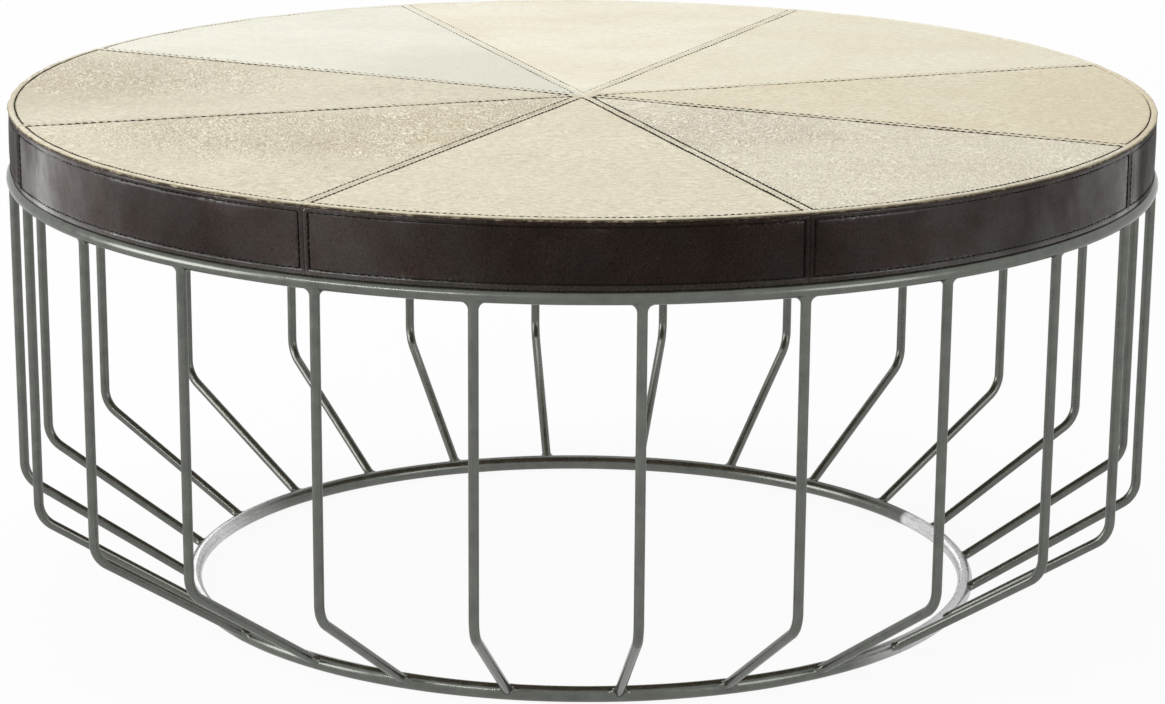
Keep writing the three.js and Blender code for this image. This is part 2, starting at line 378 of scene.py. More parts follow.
# The colour of a coat of hair: its own colour and that of its clouds and stains, with the roots' tan between
# the curls, partly painted shade, and paler tips, partly a painted highlight. The strokes are painted shade
# and
# light on the hair: they carry it from 2.6 contrast of the way to the roots' colour up to 1 + 0.7 contrast
# times itself.
def makeCoatGroup():
    inputs = {"Strokes": 0.5, "Curls": 0.5, "Clouds": 0.5, "Curl": 0.0, "Stain": 0.0, "Clouding": 0.5,
              "Contrast": 0.2, "Hair": "Color", "Cloud": "Color", "Root": "Color", "Tip": "Color"}
    tree, given = makeGroup("hairColour", inputs, ["Color"])
    clouds = tree.spread(given["Clouds"], 0.42, 0.7, 0.0, given["Clouding"])
    clouds = tree.math("MAXIMUM", clouds, tree.times(given["Stain"], 0.6))
    skin = tree.mix(clouds, given["Hair"], given["Cloud"])
    # painted shade between the curls, in the roots' tan
    rootTanAndShade = tree.times(tree.spread(given["Curls"], 0.45, 0.0), given["Curl"])
    skin = tree.mix(tree.times(rootTanAndShade, 0.9), skin, given["Root"])
    # paler tips, partly a painted highlight on the curls
    paleTipAndHighlight = tree.times(tree.spread(given["Curls"], 0.45, 1.0), given["Curl"])
    skin = tree.mix(tree.times(paleTipAndHighlight, 0.75), skin, given["Tip"])
    # painted shade and painted light on the strokes
    strokeShade = tree.mix(tree.times(given["Contrast"], 2.6), skin, given["Root"])
    strokeLight = tree.vector("SCALE", {0: skin, "Scale": tree.plus(1.0, tree.times(given["Contrast"], 0.7))})
    return tree.give(Color=tree.mix(tree.spread(given["Strokes"], 0.4, 0.6), strokeShade, strokeLight))


# One inside a patch, falling to zero across an uneven edge: the distance from its middle in its reaches
def makePatchGroup():
    inputs = {"Vector": "Vector", "Middle": "Vector", "Reach": "Vector", "Wander": 0.5}
    tree, given = makeGroup("unevenPatch", inputs, ["Share"])
    off = tree.vector("SUBTRACT", {0: given["Vector"], 1: given["Middle"]})
    share = tree.vector("DIVIDE", {0: off, 1: given["Reach"]})
    far = tree.plus(tree.vector("LENGTH", {0: share}, "Value"), tree.times(given["Wander"], 1.1))
    return tree.give(Share=tree.spread(far, 1.95, 1.2))


# The colour of a hide's cut edge by height: pale, with an uneven line of glue at its middle and dark below.
# The dark reaches higher everywhere but on the right.
def makeCutGroup():
    inputs = {"Vector": "Vector", "Pale": "Color", "Ochre": "Color", "Brown": "Color"}
    tree, given = makeGroup("cutHide", inputs, ["Color"])
    where = tree.add("SeparateXYZ", {0: given["Vector"]}).outputs
    reach = tree.math("SUBTRACT", where["Z"], tree.spread(where["X"], 0.1, 0.26, 0.6 * mm, 0.0))
    middle = (drum["topHeight"] + drum["hideUnderside"]) / 2
    spots = tree.noise(given["Vector"], 110.0, 4.0, 0.7)
    off = tree.math("ABSOLUTE", tree.math("SUBTRACT", where["Z"], middle))
    line = tree.times(tree.spread(off, 0.5 * mm, 0.1 * mm), tree.spread(spots, 0.42, 0.58, 0.2, 1.0))
    low = tree.times(tree.spread(reach, middle + 0.2 * mm, middle - 0.4 * mm), tree.spread(spots, 0.3, 0.5))
    return tree.give(Color=tree.mix(low, tree.mix(line, given["Pale"], given["Ochre"]), given["Brown"]))


# Where the stitches pull: near = exp(-(line / reach)^2), with line in mm from the row. Holes lie where the
# count of stitches is whole: cos(2 pi count) > 0.8. The height falls towards each hole.
def makeSewnGroup():
    inputs = {"Line": 9.0, "Count": 0.0, "Reach": 1.6}
    tree, given = makeGroup("sewnRow", inputs, ["Near", "Holes", "Height"])
    share = tree.math("DIVIDE", given["Line"], given["Reach"])
    near = tree.math("EXPONENT", tree.times(tree.times(share, share), -1.0))
    wave = tree.math("COSINE", tree.times(given["Count"], wholeTurn))
    holes = tree.times(tree.spread(wave, 0.8, 0.98), tree.math("POWER", near, 4.0))
    return tree.give(Near=near, Holes=holes, Height=tree.times(tree.times(near, tree.plus(wave, 1.0)), -0.5))


# Leather grain: rounded cells with fine wrinkles between them, and broad blotches of dye
def makeGrainGroup():
    outputs = ["Height", "Blotches", "Creases", "Speckle"]
    tree, given = makeGroup("leatherGrain", {"Vector": "Vector", "Cells": 800.0}, outputs)
    place = given["Vector"]
    inputs = {"Vector": place, "Scale": given["Cells"], "Randomness": 0.9}
    cells = tree.add("TexVoronoi", inputs, feature="SMOOTH_F1").outputs["Distance"]
    creases = tree.noise(tree.stretched(place, 0.0, (1.0, 1.0, 0.22)), 130.0, 4.0, 0.62, 0.5)
    height = tree.plus(tree.times(cells, -0.6), tree.times(tree.noise(place, 1500.0, 3.0, 0.6), 0.35))
    blotches = tree.noise(place, 14.0, 5.0, 0.6, 0.4)
    speckle = tree.noise(place, 620.0, 4.0, 0.7)
    return tree.give(Height=tree.plus(height, tree.times(creases, 1.1)), Creases=creases,
                     Blotches=blotches, Speckle=speckle)


# Metal that was ground, brushed along its length and coated: streaks along the rod and soft mottling
def makeSteelGroup():
    inputs = {"Vector": "Vector", "Along": "Vector"}
    tree, given = makeGroup("brushedCoat", inputs, ["Mottle", "Streaks", "Height"])
    streaks = tree.noise(tree.stretched(given["Along"], 0.0, (0.035, 1.0, 1.0)), 2200.0, 3.0, 0.6)
    dents = tree.noise(given["Vector"], 260.0, 2.0)
    return tree.give(Mottle=tree.noise(given["Vector"], 70.0, 4.0, 0.6), Streaks=streaks,
                     Height=tree.plus(tree.times(streaks, 0.15), tree.times(dents, 0.75)))


hairGroup = makeHairGroup()
coatGroup = makeCoatGroup()
patchGroup = makePatchGroup()
cutGroup = makeCutGroup()
sewnGroup = makeSewnGroup()
grainGroup = makeGrainGroup()
steelGroup = makeSteelGroup()

# Materials

steelLook = {
    "dark": (0.083, 0.088, 0.076),
    "light": (0.126, 0.132, 0.115),
    "bare": (0.93, 0.94, 0.96),  # bare metal at the sides of the floor ring, painted near white as a painted reflection
    "burnt": (0.19, 0.13, 0.065),  # the brown that a weld leaves beside it
}


# Rod: a mottled, streaked tone, then bare metal painted near white as a painted reflection at the floor
# ring's sides, then the burn beside the welds
def makeSteel(c):
    material, tree, place = startMaterial("coatedSteel")
    skin = tree.group(steelGroup, Vector=place, Along=tree.lengthwise())
    streaks, mottle = skin["Streaks"], skin["Mottle"]
    tone = tree.plus(tree.times(mottle, 0.55), tree.times(streaks, 0.45))
    metal = tree.mix(tree.spread(tone, 0.36, 0.64), c["dark"], c["light"])
    # bare metal at the floor ring's sides, painted near white: a painted reflection
    ground = tree.times(tree.carried("bare"), tree.spread(streaks, 0.36, 0.62, 0.55, 1.0))
    metal = tree.mix(ground, metal, c["bare"])
    burn = tree.times(tree.carried("heat"), tree.spread(tree.noise(place, 34.0, 3.0, 0.6), 0.38, 0.6))
    tree.give(Base_Color=tree.mix(tree.times(burn, 0.85), metal, c["burnt"]), Metallic=0.8,
              Specular_Tint=(0.35, 0.36, 0.34), Roughness=tree.spread(mottle, 0.3, 0.7, 0.22, 0.36),
              Coat_Weight=0.62, Coat_Roughness=0.13, Normal=tree.bump(skin["Height"], 0.2, 0.16 * mm))
    return material


zincLook = {"dark": (0.34, 0.35, 0.35), "light": (0.58, 0.58, 0.56)}


# Zinc: flat cells of crystal, each of its own tone, under a dull bloom
def makeZinc(c):
    material, tree, place = startMaterial("zincPlate")
    spangle = tree.add("TexVoronoi", {"Vector": place, "Scale": 1400.0}).outputs["Color"]
    tone = tree.add("SeparateColor", {0: spangle}).outputs[0]
    dull = tree.noise(place, 500.0, 3.0, 0.6)
    tree.give(Base_Color=tree.mix(tone, c["dark"], c["light"]), Metallic=1.0,
              Roughness=tree.spread(dull, 0.3, 0.7, 0.24, 0.42), Normal=tree.bump(dull, 0.3, 0.05 * mm))
    return material


boardLook = {"fibre": (0.33, 0.24, 0.145), "shade": (0.21, 0.15, 0.088), "fleck": (0.43, 0.34, 0.22)}


# Board: a blurred tone with pale fibres and dark flecks
def makeBoard(c):
    material, tree, place = startMaterial("fibreBoard")
    fibres = tree.noise(tree.stretched(place, 0.5, (1.0, 0.3, 1.0)), 420.0, 4.0, 0.65, 1.2)
    ground = tree.mix(tree.spread(tree.noise(place, 16.0, 4.0, 0.6), 0.35, 0.68), c["fibre"], c["shade"])
    ground = tree.mix(tree.spread(fibres, 0.5, 0.75, 0.0, 0.5), ground, c["fleck"])
    flecks = tree.spread(tree.noise(place, 900.0, 2.0), 0.62, 0.72, 0.0, 0.6)
    tree.give(Base_Color=tree.mix(flecks, ground, c["shade"]), Normal=tree.bump(fibres, 0.35, 0.15 * mm),
              Roughness=tree.spread(fibres, 0.3, 0.7, 0.72, 0.9))
    return material


bandLook = {
    "deep": (0.0095, 0.0058, 0.0046),
    "warm": (0.0205, 0.0112, 0.0086),
    "cool": (0.0125, 0.0098, 0.0078),
    "sheen": (0.05, 0.032, 0.025),  # painted sheen, mixed in where the leather shines most
    "skived": (0.03, 0.024, 0.018),  # the strip below the lower stitches
    "worn": (0.095, 0.066, 0.045),  # along the cut edges
    # painted shade, as dark as the thread, in the stitch valleys
    "thread": (0.003, 0.002, 0.002),
}


# Band: blotched dye, paler where it is skived or worn, with painted sheen where the leather shines most and
# painted shade along the stitches, and a coat that shines there and glints beside the stitches
def makeBandLeather(c):
    material, tree, place = startMaterial("darkLeather")
    grain = tree.group(grainGroup, Cells=900.0, Vector=place)
    tint = tree.noise(place, 22.0, 4.0, 0.6)
    lower, glossAndSheen, cut = (tree.carried(name) for name in ("lowerStrip", "glossAndSheen", "cutEdge"))
    crumbs = tree.noise(place, 420.0, 3.0, 0.7)
    dye = tree.mix(tree.spread(grain["Blotches"], 0.36, 0.62), c["deep"], c["warm"])
    dye = tree.mix(tree.spread(tint, 0.46, 0.68, 0.0, 0.85), dye, c["cool"])
    # painted sheen: the dye is lightened where the leather shines
    dye = tree.mix(tree.math("MINIMUM", tree.times(glossAndSheen, 0.5), 0.5), dye, c["sheen"])
    dye = tree.mix(tree.times(lower, 0.8), dye, c["skived"])
    dye = tree.mix(tree.times(cut, tree.spread(crumbs, 0.44, 0.62)), dye, c["worn"])
    dye = tree.mix(1.0, dye, tree.spread(grain["Speckle"], 0.36, 0.64, 0.45, 1.5), "MULTIPLY")
    sewn = tree.sewn(1.7)
    # painted shade: the stitch valleys are drawn towards near-black
    valley = tree.math("POWER", sewn["Near"], 5.0)
    rough = tree.plus(tree.spread(grain["Blotches"], 0.3, 0.7, 0.33, 0.5), tree.times(valley, 0.2))
    height = tree.plus(grain["Height"], tree.times(tree.times(cut, crumbs), 3.0))
    height = tree.plus(height, tree.times(grain["Speckle"], 1.4))
    pull = tree.times(sewn["Height"], tree.spread(grain["Creases"], 0.4, 0.6, 1.0, 3.6))
    # the leather crinkles beside the stitches, and glints there in places
    crinkle = tree.noise(tree.stretched(place, 0.4, (1.0, 1.0, 1.6)), 330.0, 2.0, 0.5, 0.8)
    beside = tree.sewn(3.0)["Near"]
    height = tree.plus(height, tree.times(tree.times(beside, crinkle), 4.0))
    sheen = tree.times(beside, tree.spread(grain["Blotches"], 0.5, 0.6))
    shine = tree.times(sheen, tree.spread(crinkle, 0.5, 0.64))
    glossAndSheen = tree.times(glossAndSheen, tree.spread(tint, 0.35, 0.65, 0.65, 1.3))
    glossAndSheen = tree.times(glossAndSheen, tree.plus(1.0, tree.times(lower, 0.8)))
    # the stitch valleys get their painted shade here
    tree.give(Base_Color=tree.mix(tree.times(valley, 0.8), dye, c["thread"]), Roughness=rough,
              Specular_IOR_Level=0.02, Coat_Weight=tree.plus(shine, glossAndSheen), Coat_Roughness=0.2,
              Normal=tree.bump(tree.plus(height, pull), 0.8, 0.22 * mm))
    return material


threadLook = {"shade": (0.006, 0.0045, 0.0035), "light": (0.026, 0.018, 0.012)}


# Thread: twisted plies, waves that run slanting along it, with a little fuzz
def makeThread(c):
    material, tree, place = startMaterial("darkThread")
    twist = {"Vector": tree.lengthwise(), "Scale": 1.6, "Distortion": 0.6}
    ply = tree.add("TexWave", twist, bands_direction="DIAGONAL").outputs["Fac"]
    fuzz = tree.noise(place, 4000.0, 2.0, 0.6)
    tree.give(Base_Color=tree.mix(tree.times(ply, fuzz), c["shade"], c["light"]), Specular_IOR_Level=0.04,
              Roughness=tree.spread(fuzz, 0.3, 0.7, 0.6, 0.8), Normal=tree.bump(ply, 0.6, 0.12 * mm))
    return material


# Each hide: the colour of its hair, its own tone with painted sheen added on the wedges at the back, the
# darker colour of its clouds, the tan between curls, also painted shade, the way its hair lies in degrees,
# how curly it is all over, how strong the clouds and the hair's contrast, its painted shade and light, are,
# and patches of tight curls and tan stains as (x, y, reach across, reach in depth)
hideLooks = [
    {"hair": (0.71, 0.665, 0.52), "cloud": (0.65, 0.6, 0.44), "root": (0.49, 0.42, 0.28), "lie": 2,
     "curl": 0.05, "clouding": 0.45, "contrast": 0.22},
    {"hair": (0.765, 0.728, 0.59), "cloud": (0.63, 0.57, 0.44), "root": (0.44, 0.37, 0.27), "lie": 10,
     "curl": 0.4, "clouding": 0.45, "contrast": 0.24, "patches": [(0.13, -0.14, 0.1, 0.1)]},
    {"hair": (0.71, 0.663, 0.512), "cloud": (0.64, 0.568, 0.4), "root": (0.52, 0.41, 0.25), "lie": 2,
     "curl": 0.0, "clouding": 0.6, "contrast": 0.19, "stains": [(0.475, -0.04, 0.1, 0.2)]},
    {"hair": (0.77, 0.73, 0.58), "cloud": (0.7, 0.635, 0.47), "root": (0.6, 0.53, 0.38), "lie": -8,
     "curl": 0.0, "clouding": 0.6, "contrast": 0.14},
    {"hair": (0.82, 0.785, 0.655), "cloud": (0.745, 0.67, 0.505), "root": (0.62, 0.54, 0.4), "lie": 3,
     "curl": 0.0, "clouding": 0.8, "contrast": 0.11},
    {"hair": (0.795, 0.775, 0.665), "cloud": (0.6, 0.58, 0.465), "root": (0.63, 0.6, 0.5), "lie": 8,
     "curl": 0.0, "clouding": 0.36, "contrast": 0.11, "stains": [(-0.08, 0.1, 0.16, 0.14)]},
    # this hide's stain at the outer left rim only makes the hair darker at the edge
    {"hair": (0.69, 0.655, 0.518), "cloud": (0.49, 0.435, 0.315), "root": (0.43, 0.345, 0.225), "lie": -3,
     "curl": 0.05, "clouding": 0.4, "contrast": 0.19, "patches": [(-0.425, 0.07, 0.15, 0.1)],
     "stains": [(-0.475, 0.01, 0.11, 0.1)]},
    {"hair": (0.725, 0.686, 0.54), "cloud": (0.575, 0.477, 0.325), "root": (0.42, 0.345, 0.215), "lie": -8,
     "curl": 0.08, "clouding": 0.36, "contrast": 0.22,
     "patches": [(-0.3, -0.17, 0.12, 0.12), (-0.2, -0.19, 0.13, 0.115), (-0.11, -0.14, 0.09, 0.09),
                 (-0.06, -0.06, 0.06, 0.06)],
     "stains": [(-0.197, -0.235, 0.045, 0.025), (-0.127, -0.128, 0.055, 0.03), (-0.11, -0.2, 0.045, 0.03)]},
]
# paler hair tips, partly a painted highlight
paleTipAndHighlightColour = (0.95, 0.91, 0.77)
edgeLook = {"pale": (0.36, 0.31, 0.205), "ochre": (0.17, 0.13, 0.065), "brown": (0.045, 0.033, 0.021)}


# The greatest of a least value and of the shares of some patches
def addPatches(tree, place, wander, least, spots):
    most = least
    for x, y, across, deep in spots:
        patch = tree.group(patchGroup, Vector=place, Middle=(x, y, drum["topHeight"]),
                           Reach=(across, deep, 1.0), Wander=wander)
        most = tree.math("MAXIMUM", most, patch["Share"])
    return most


# Hide: the coat's colour, drawn to ochre as painted shade along the bare stitch rows, to brown along the seam
# crease and as painted shade in the stitch holes, and the cut edge's colour
def makeHide(number, c):
    material, tree, place = startMaterial("hairHide%d" % number)
    wander = tree.noise(place, 30.0, 4.0, 0.6)
    curl = addPatches(tree, place, wander, c["curl"], c.get("patches", []))
    stain = addPatches(tree, place, wander, 0.0, c.get("stains", []))
    hair = tree.group(hairGroup, Turn=(0, 0, math.radians(c["lie"])), Curl=curl, Vector=place)
    coat = tree.group(coatGroup, Strokes=hair["Strokes"], Curls=hair["Curls"], Clouds=hair["Clouds"],
                      Curl=curl, Stain=stain, Clouding=c["clouding"], Contrast=c["contrast"],
                      Hair=c["hair"], Cloud=c["cloud"], Root=c["root"], Tip=paleTipAndHighlightColour)["Color"]
    bare = tree.math("SUBTRACT", 1.0, tree.carried("hidden"))
    sewn = tree.sewn(1.5)
    # painted shade: ochre along the bare stitch rows
    stitchShade = tree.times(tree.math("POWER", sewn["Near"], 1.8), bare)
    coat = tree.mix(tree.times(stitchShade, 0.62), coat, edgeLook["ochre"])
    # painted shade: brown in the stitch holes
    holes = tree.times(sewn["Holes"], tree.times(bare, 0.6))
    coat = tree.mix(tree.math("MAXIMUM", tree.carried("crease"), holes), coat, edgeLook["brown"])
    cut = tree.group(cutGroup, Vector=place, Pale=edgeLook["pale"], Ochre=edgeLook["ochre"],
                     Brown=edgeLook["brown"])["Color"]
    pull = tree.times(tree.times(sewn["Height"], 0.35), bare)
    tree.give(Base_Color=tree.mix(tree.carried("rawEdge"), coat, cut), Specular_IOR_Level=0.25,
              Roughness=tree.spread(hair["Strokes"], 0.3, 0.7, 0.62, 0.82), Sheen_Weight=0.1,
              Sheen_Roughness=0.4, Normal=tree.bump(tree.plus(hair["Height"], pull), 0.7, 1.1 * mm))
    return material


coatedSteel = makeSteel(steelLook)
zincPlate = makeZinc(zincLook)
fibreBoard = makeBoard(boardLook)
darkLeather = makeBandLeather(bandLook)
darkThread = makeThread(threadLook)
hairHides = [makeHide(number + 1, look) for number, look in enumerate(hideLooks)]
print("materials made")

# Stage and lamps

stageLook = {
    "floorReach": 60.0,
    "floorColour": (0.86, 0.86, 0.86),
    "fadedShare": 0.985,
    "ambient": 0.45,
    "whiteShare": 0.93,  # of the floor's own white near the table; far away it is all white
    "whiteFrom": 1.2,
    "whiteTo": 4.0,
}
lamps = [
    {"name": "overhead", "place": (-0.3, 0.9, 3.0), "target": (0, 0, 0.4), "size": (1.8, 1.8), "power": 32},
    {"name": "leftWindow", "place": (-3.1, -0.7, 0.9), "target": (0, 0, 0.35), "size": (2.0, 1.5),
     "power": 56},
    {"name": "rightWindow", "place": (2.6, -1.9, 1.1), "target": (0, 0, 0.35), "size": (1.3, 1.3),
     "power": 20},
    {"name": "backWindow", "place": (-0.75, 2.9, 0.95), "target": (-0.4, 0, 0.2), "size": (0.8, 0.5),
     "power": 3},
    {"name": "frontStrip", "place": (-2.2, -2.85, 2.2), "target": (0, 0, 0.4), "size": (2.4, 0.15),
     "power": 38},
]


# One for the rays that see the white background: the camera's, glossy ones and those that pass through
def seenRays(tree):
    path = tree.add("LightPath").outputs
    seen = tree.math("MAXIMUM", path["Is Camera Ray"], path["Is Glossy Ray"])
    return tree.math("MAXIMUM", seen, path["Is Transmission Ray"])


# The floor's own paint mixed with plain white light for the rays that see it, and the white world. The
# floor is a disc of rings that grow wider outwards.
def makeStage(c):
    material, tree, place = startMaterial("paleFloor")
    paint = tree.mix(tree.spread(tree.noise(place, 3.0), 0.3, 0.7), c["floorColour"],
                     [v * c["fadedShare"] for v in c["floorColour"]])
    tree.give(Base_Color=paint, Roughness=0.9, Specular_IOR_Level=0.1)
    away = tree.vector("LENGTH", {0: place}, "Value")
    share = tree.spread(away, c["whiteFrom"], c["whiteTo"], c["whiteShare"], 1.0)
    white = tree.add("Emission", {"Color": (1, 1, 1), "Strength": 1.0}).outputs[0]
    shader = material.node_tree.nodes["Principled BSDF"].outputs[0]
    both = tree.add("MixShader", {0: tree.times(share, seenRays(tree)), 1: shader, 2: white})
    tree.feed(material.node_tree.nodes["Material Output"].inputs["Surface"], both.outputs[0])
    radius = np.concatenate([[0.02], easedFrom(0.5, c["floorReach"], 12, 2.0)])
    grid = around(radius[:, None], turnsRound(96)[None, :], 0.0)
    mesh = bpy.data.meshes.new("floor")
    faces = gridFaces(*grid.shape[:2], closeColumns=True)[:, ::-1].tolist()
    mesh.from_pydata(grid.reshape(-1, 3).tolist(), [], faces + [list(range(grid.shape[1]))])
    mesh.materials.append(material)
    floor = bpy.data.objects.new("floor", mesh)
    bpy.context.scene.collection.objects.link(floor)
    world = bpy.data.worlds.new("studio")
    world.use_nodes = True
    sky = Tree(world.node_tree, world.node_tree.nodes["Background"].inputs)
    sky.give(Color=(1, 1, 1), Strength=sky.spread(seenRays(sky), 0.0, 1.0, c["ambient"], 1.0))
    bpy.context.scene.world = world


# Each lamp is a rectangle that faces its target
def makeLamps(settings):
    for c in settings:
        data = bpy.data.lights.new(c["name"], "AREA")
        data.shape = "RECTANGLE"
        data.size, data.size_y = c["size"]
        data.energy = c["power"]
        lamp = bpy.data.objects.new(c["name"], data)
        bpy.context.scene.collection.objects.link(lamp)
        lamp.location = c["place"]
        towards = Vector(c["target"]) - lamp.location
        lamp.rotation_euler = towards.to_track_quat("-Z", "Y").to_euler()


makeStage(stageLook)
makeLamps(lamps)
bpy.context.scene.view_settings.view_transform = "Standard"
print("stage and lamps set")

# Rings of rod

ringShape = {
    "coat": 0.35 * mm,
    "sidesInFrame": 12,
    "aroundTable": 480,
    "aroundRod": 28,
    "uneven": 0.006,  # of the rod's radius
    "unevenLength": 60 * mm,
    "heatReach": 16 * mm,
    "legs": 24,
    # how bare the floor ring is, painted near white as a painted reflection, at these degrees round the table
    "bareAndShineAt": [-124, -113, -103, -75, -54, 42, 66, 119, 120],
    "bare": [0, 0.35, 1, 1, 0, 0, 1, 1, 0],
}


# A ring's facts from its solid, whose section has flats: half its height over cos(half a side's turn)
def ringSizes(low, high, bottom=None, top=None):
    half = (high.z - low.z) / 2
    rod = half / math.cos(math.pi / ringShape["sidesInFrame"]) + ringShape["coat"]
    height = bottom + rod if top is None else top - rod
    return {"radius": high.x - half, "rod": rod, "height": height}


upperRing = ringSizes(upperLow, upperHigh, top=drum["underside"])
floorRing = ringSizes(floorLow, floorHigh, bottom=0.0)


# The point of a ring at a turn u round the table and v round its rod, whose radius is a: the radius is
# R + a cos v and the height h + a sin v
def ringPoint(ring, rod, turn, side):
    return around(ring["radius"] + rod * np.cos(side), turn, ring["height"] + rod * np.sin(side))


# A ring of round rod whose radius is a little uneven. The heat is
# exp(-(distance to the nearest leg / reach)^2).
def makeRing(name, node, ring, seed, bare, c):
    turn = turnsRound(c["aroundTable"])[:, None]
    side = turnsRound(c["aroundRod"])[None, :]
    plain = ringPoint(ring, ring["rod"], turn, side)
    rod = ring["rod"] * (1 + c["uneven"] * unevenness(plain, c["unevenLength"], seed))
    grid = ringPoint(ring, rod, turn, side)
    grid[..., 2] = np.maximum(grid[..., 2], 0)
    pitch = wholeTurn / c["legs"]
    off = (turn % pitch) - pitch / 2
    heat = np.exp(-(off * ring["radius"] / c["heatReach"]) ** 2) + 0 * side
    # the floor ring's sides are bare metal painted near white, a painted reflection
    ground = np.interp(np.degrees(turn), c["bareAndShineAt"], bare, period=360) + 0 * side
    faces = gridFaces(*grid.shape[:2], closeRows=True, closeColumns=True)
    along = together(turn * ring["radius"], side * ring["rod"])
    addPiece(name, grid, faces, coatedSteel, [node], values={"heat": heat, "bare": ground}, uv=along)


makeRing("smoothUpperRing", "upper_ring", upperRing, 11, [0] * len(ringShape["bare"]), ringShape)
makeRing("smoothFloorRing", "floor_ring", floorRing, 12, ringShape["bare"], ringShape)
print("rings made")

# Legs

legShape = {
    "count": ringShape["legs"],
    "rod": 4.3 * mm,
    "lean": 3 * mm,
    "kneeHeight": 104.5 * mm,
    "bend": 26 * mm,
    "sides": 20,
    "weldAlong": 6.5 * mm,  # the weld's hollow curve along the ring
    "weldAcross": 2.6 * mm,  # its height on the other two sides
    "weldShare": 0.96,  # how much of the ring's rod the weld covers across
    "weldSink": 0.15 * mm,
    "weldLumps": 0.035,  # of the rod's radius
    "lumpLength": 7 * mm,
    "lumpTurn": 60,  # a turn round the rod over this counts as metres
    "weldInside": 0.8,  # how much of that width is left inside the ring
    "runMargin": 2 * mm,
    "weldRows": 8,
    "bendRows": 12,
    "runRows": 10,
    "heatReach": 26 * mm,
}


# A leg's centreline from its top, its knee and its foot in its upright plane: how long its two straight
# runs are, once the bend has taken radius tan(turn / 2) from each
def legLine(c):
    top = np.array([upperRing["radius"], upperRing["height"]])
    knee = np.array([upperRing["radius"] - c["lean"], c["kneeHeight"]])
    foot = np.array([floorRing["radius"], floorRing["height"]])
    down = (knee - top) / np.linalg.norm(knee - top)
    inwards = (foot - knee) / np.linalg.norm(foot - knee)
    turn = math.acos(down @ inwards)
    tangent = c["bend"] * math.tan(turn / 2)
    upright = np.linalg.norm(knee - top) - tangent
    sloping = np.linalg.norm(foot - knee) - tangent
    length = upright + c["bend"] * turn + sloping
    return {"top": top, "down": down, "turn": turn, "upright": upright, "length": length}


# The point and the direction of a leg's centreline after a length s, in its upright plane: straight down,
# then an arc, whose turn is the length past its start over its radius, then straight on.
def legPlace(c, line, s):
    turn = np.clip((s - line["upright"]) / c["bend"], 0, line["turn"])[..., None]
    down = line["down"]
    side = np.array([-1.0, down[0] / down[1]])
    side /= np.linalg.norm(side)
    straight = np.minimum(s, line["upright"])[..., None]
    past = np.maximum(s - line["upright"] - c["bend"] * line["turn"], 0)[..., None]
    direction = np.cos(turn) * down + np.sin(turn) * side
    point = line["top"] + straight * down + c["bend"] * (np.sin(turn) * down + (1 - np.cos(turn)) * side)
    return point + past * direction, direction


# A weld's hollow curve for the turn w from the ring's face, where it is a quarter turn, to the leg: the
# leg's two half widths grow by reach (1 - cos w), and its distance from the ring is face + rise (1 - sin w).
def weldRows(c, ring, side):
    w = np.linspace(quarterTurn, 0, c["weldRows"])[:, None]
    growAlong = c["weldAlong"] * (1 - np.cos(w)) + 0 * side
    growAcross = (ring["rod"] * c["weldShare"] - c["rod"]) * (1 - np.cos(w)) + 0 * side
    face = np.sqrt(ring["rod"] ** 2 - (ring["rod"] * c["weldShare"] * np.sin(side)) ** 2)
    rise = c["weldAlong"] * np.cos(side) ** 2 + c["weldAcross"] * np.sin(side) ** 2
    distance = face + rise * (1 - np.sin(w)) - c["weldSink"]
    inside = np.zeros((1, side.shape[1]))
    growAlong = np.concatenate([growAlong[:1] * c["weldInside"], growAlong])
    return np.concatenate([inside, distance]), growAlong, np.concatenate([inside, growAcross])


# A leg is a tube along its centreline, from one weld to the other. The welds are a little lumpy, and the
# heat is exp(-distance / reach) from both ends.
def makeLegs(c):
    line = legLine(c)
    side = turnsRound(c["sides"])[None, :]
    top = weldRows(c, upperRing, side)
    foot = weldRows(c, floorRing, side)
    bendEnd = line["upright"] + c["bend"] * line["turn"]
    firstRow = top[0][-1].max() + c["runMargin"]
    lastRow = line["length"] - foot[0][-1].max() - c["runMargin"]
    middle = np.concatenate([np.linspace(firstRow, line["upright"], c["runRows"]),
                             np.linspace(line["upright"], bendEnd, c["bendRows"])[1:],
                             np.linspace(bendEnd, lastRow, c["runRows"])[1:]])[:, None] + 0 * side
    s = np.concatenate([top[0], middle, line["length"] - foot[0][::-1]])
    along, across = (np.concatenate([top[k], 0 * middle, foot[k][::-1]]) + c["rod"] for k in (1, 2))
    point, direction = legPlace(c, line, s)
    heat = np.exp(-s / c["heatReach"]) + np.exp(-(line["length"] - s) / c["heatReach"])
    uv = together(s, side * c["rod"])
    welded = np.clip(along / c["rod"] - 1, 0, 1)
    lumpPlace = together(s, side / c["lumpTurn"])
    for number in range(c["count"]):
        lump = 1 + c["weldLumps"] * welded * unevenness(lumpPlace, c["lumpLength"], 40 + number)
        reach = across * lump * np.sin(side)
        grid = brought((number + 0.5) * wholeTurn / c["count"], point[..., 0] - reach * direction[..., 1],
                       along * lump * np.cos(side), point[..., 1] + reach * direction[..., 0])
        addTube("roundLeg%02d" % (number + 1), grid, coatedSteel, ["leg_%02d" % (number + 1)],
                values={"heat": heat}, uv=uv)


makeLegs(legShape)
print("legs made")

# Stitches

stitchShape = {"sections": [-1, -0.82, 0, 0.82, 1], "sides": 6, "taper": 0.3, "reaches": (0.85, 1.1),
               "wanderLength": 40 * mm, "buryLength": 30 * mm, "buryShare": 0.6}


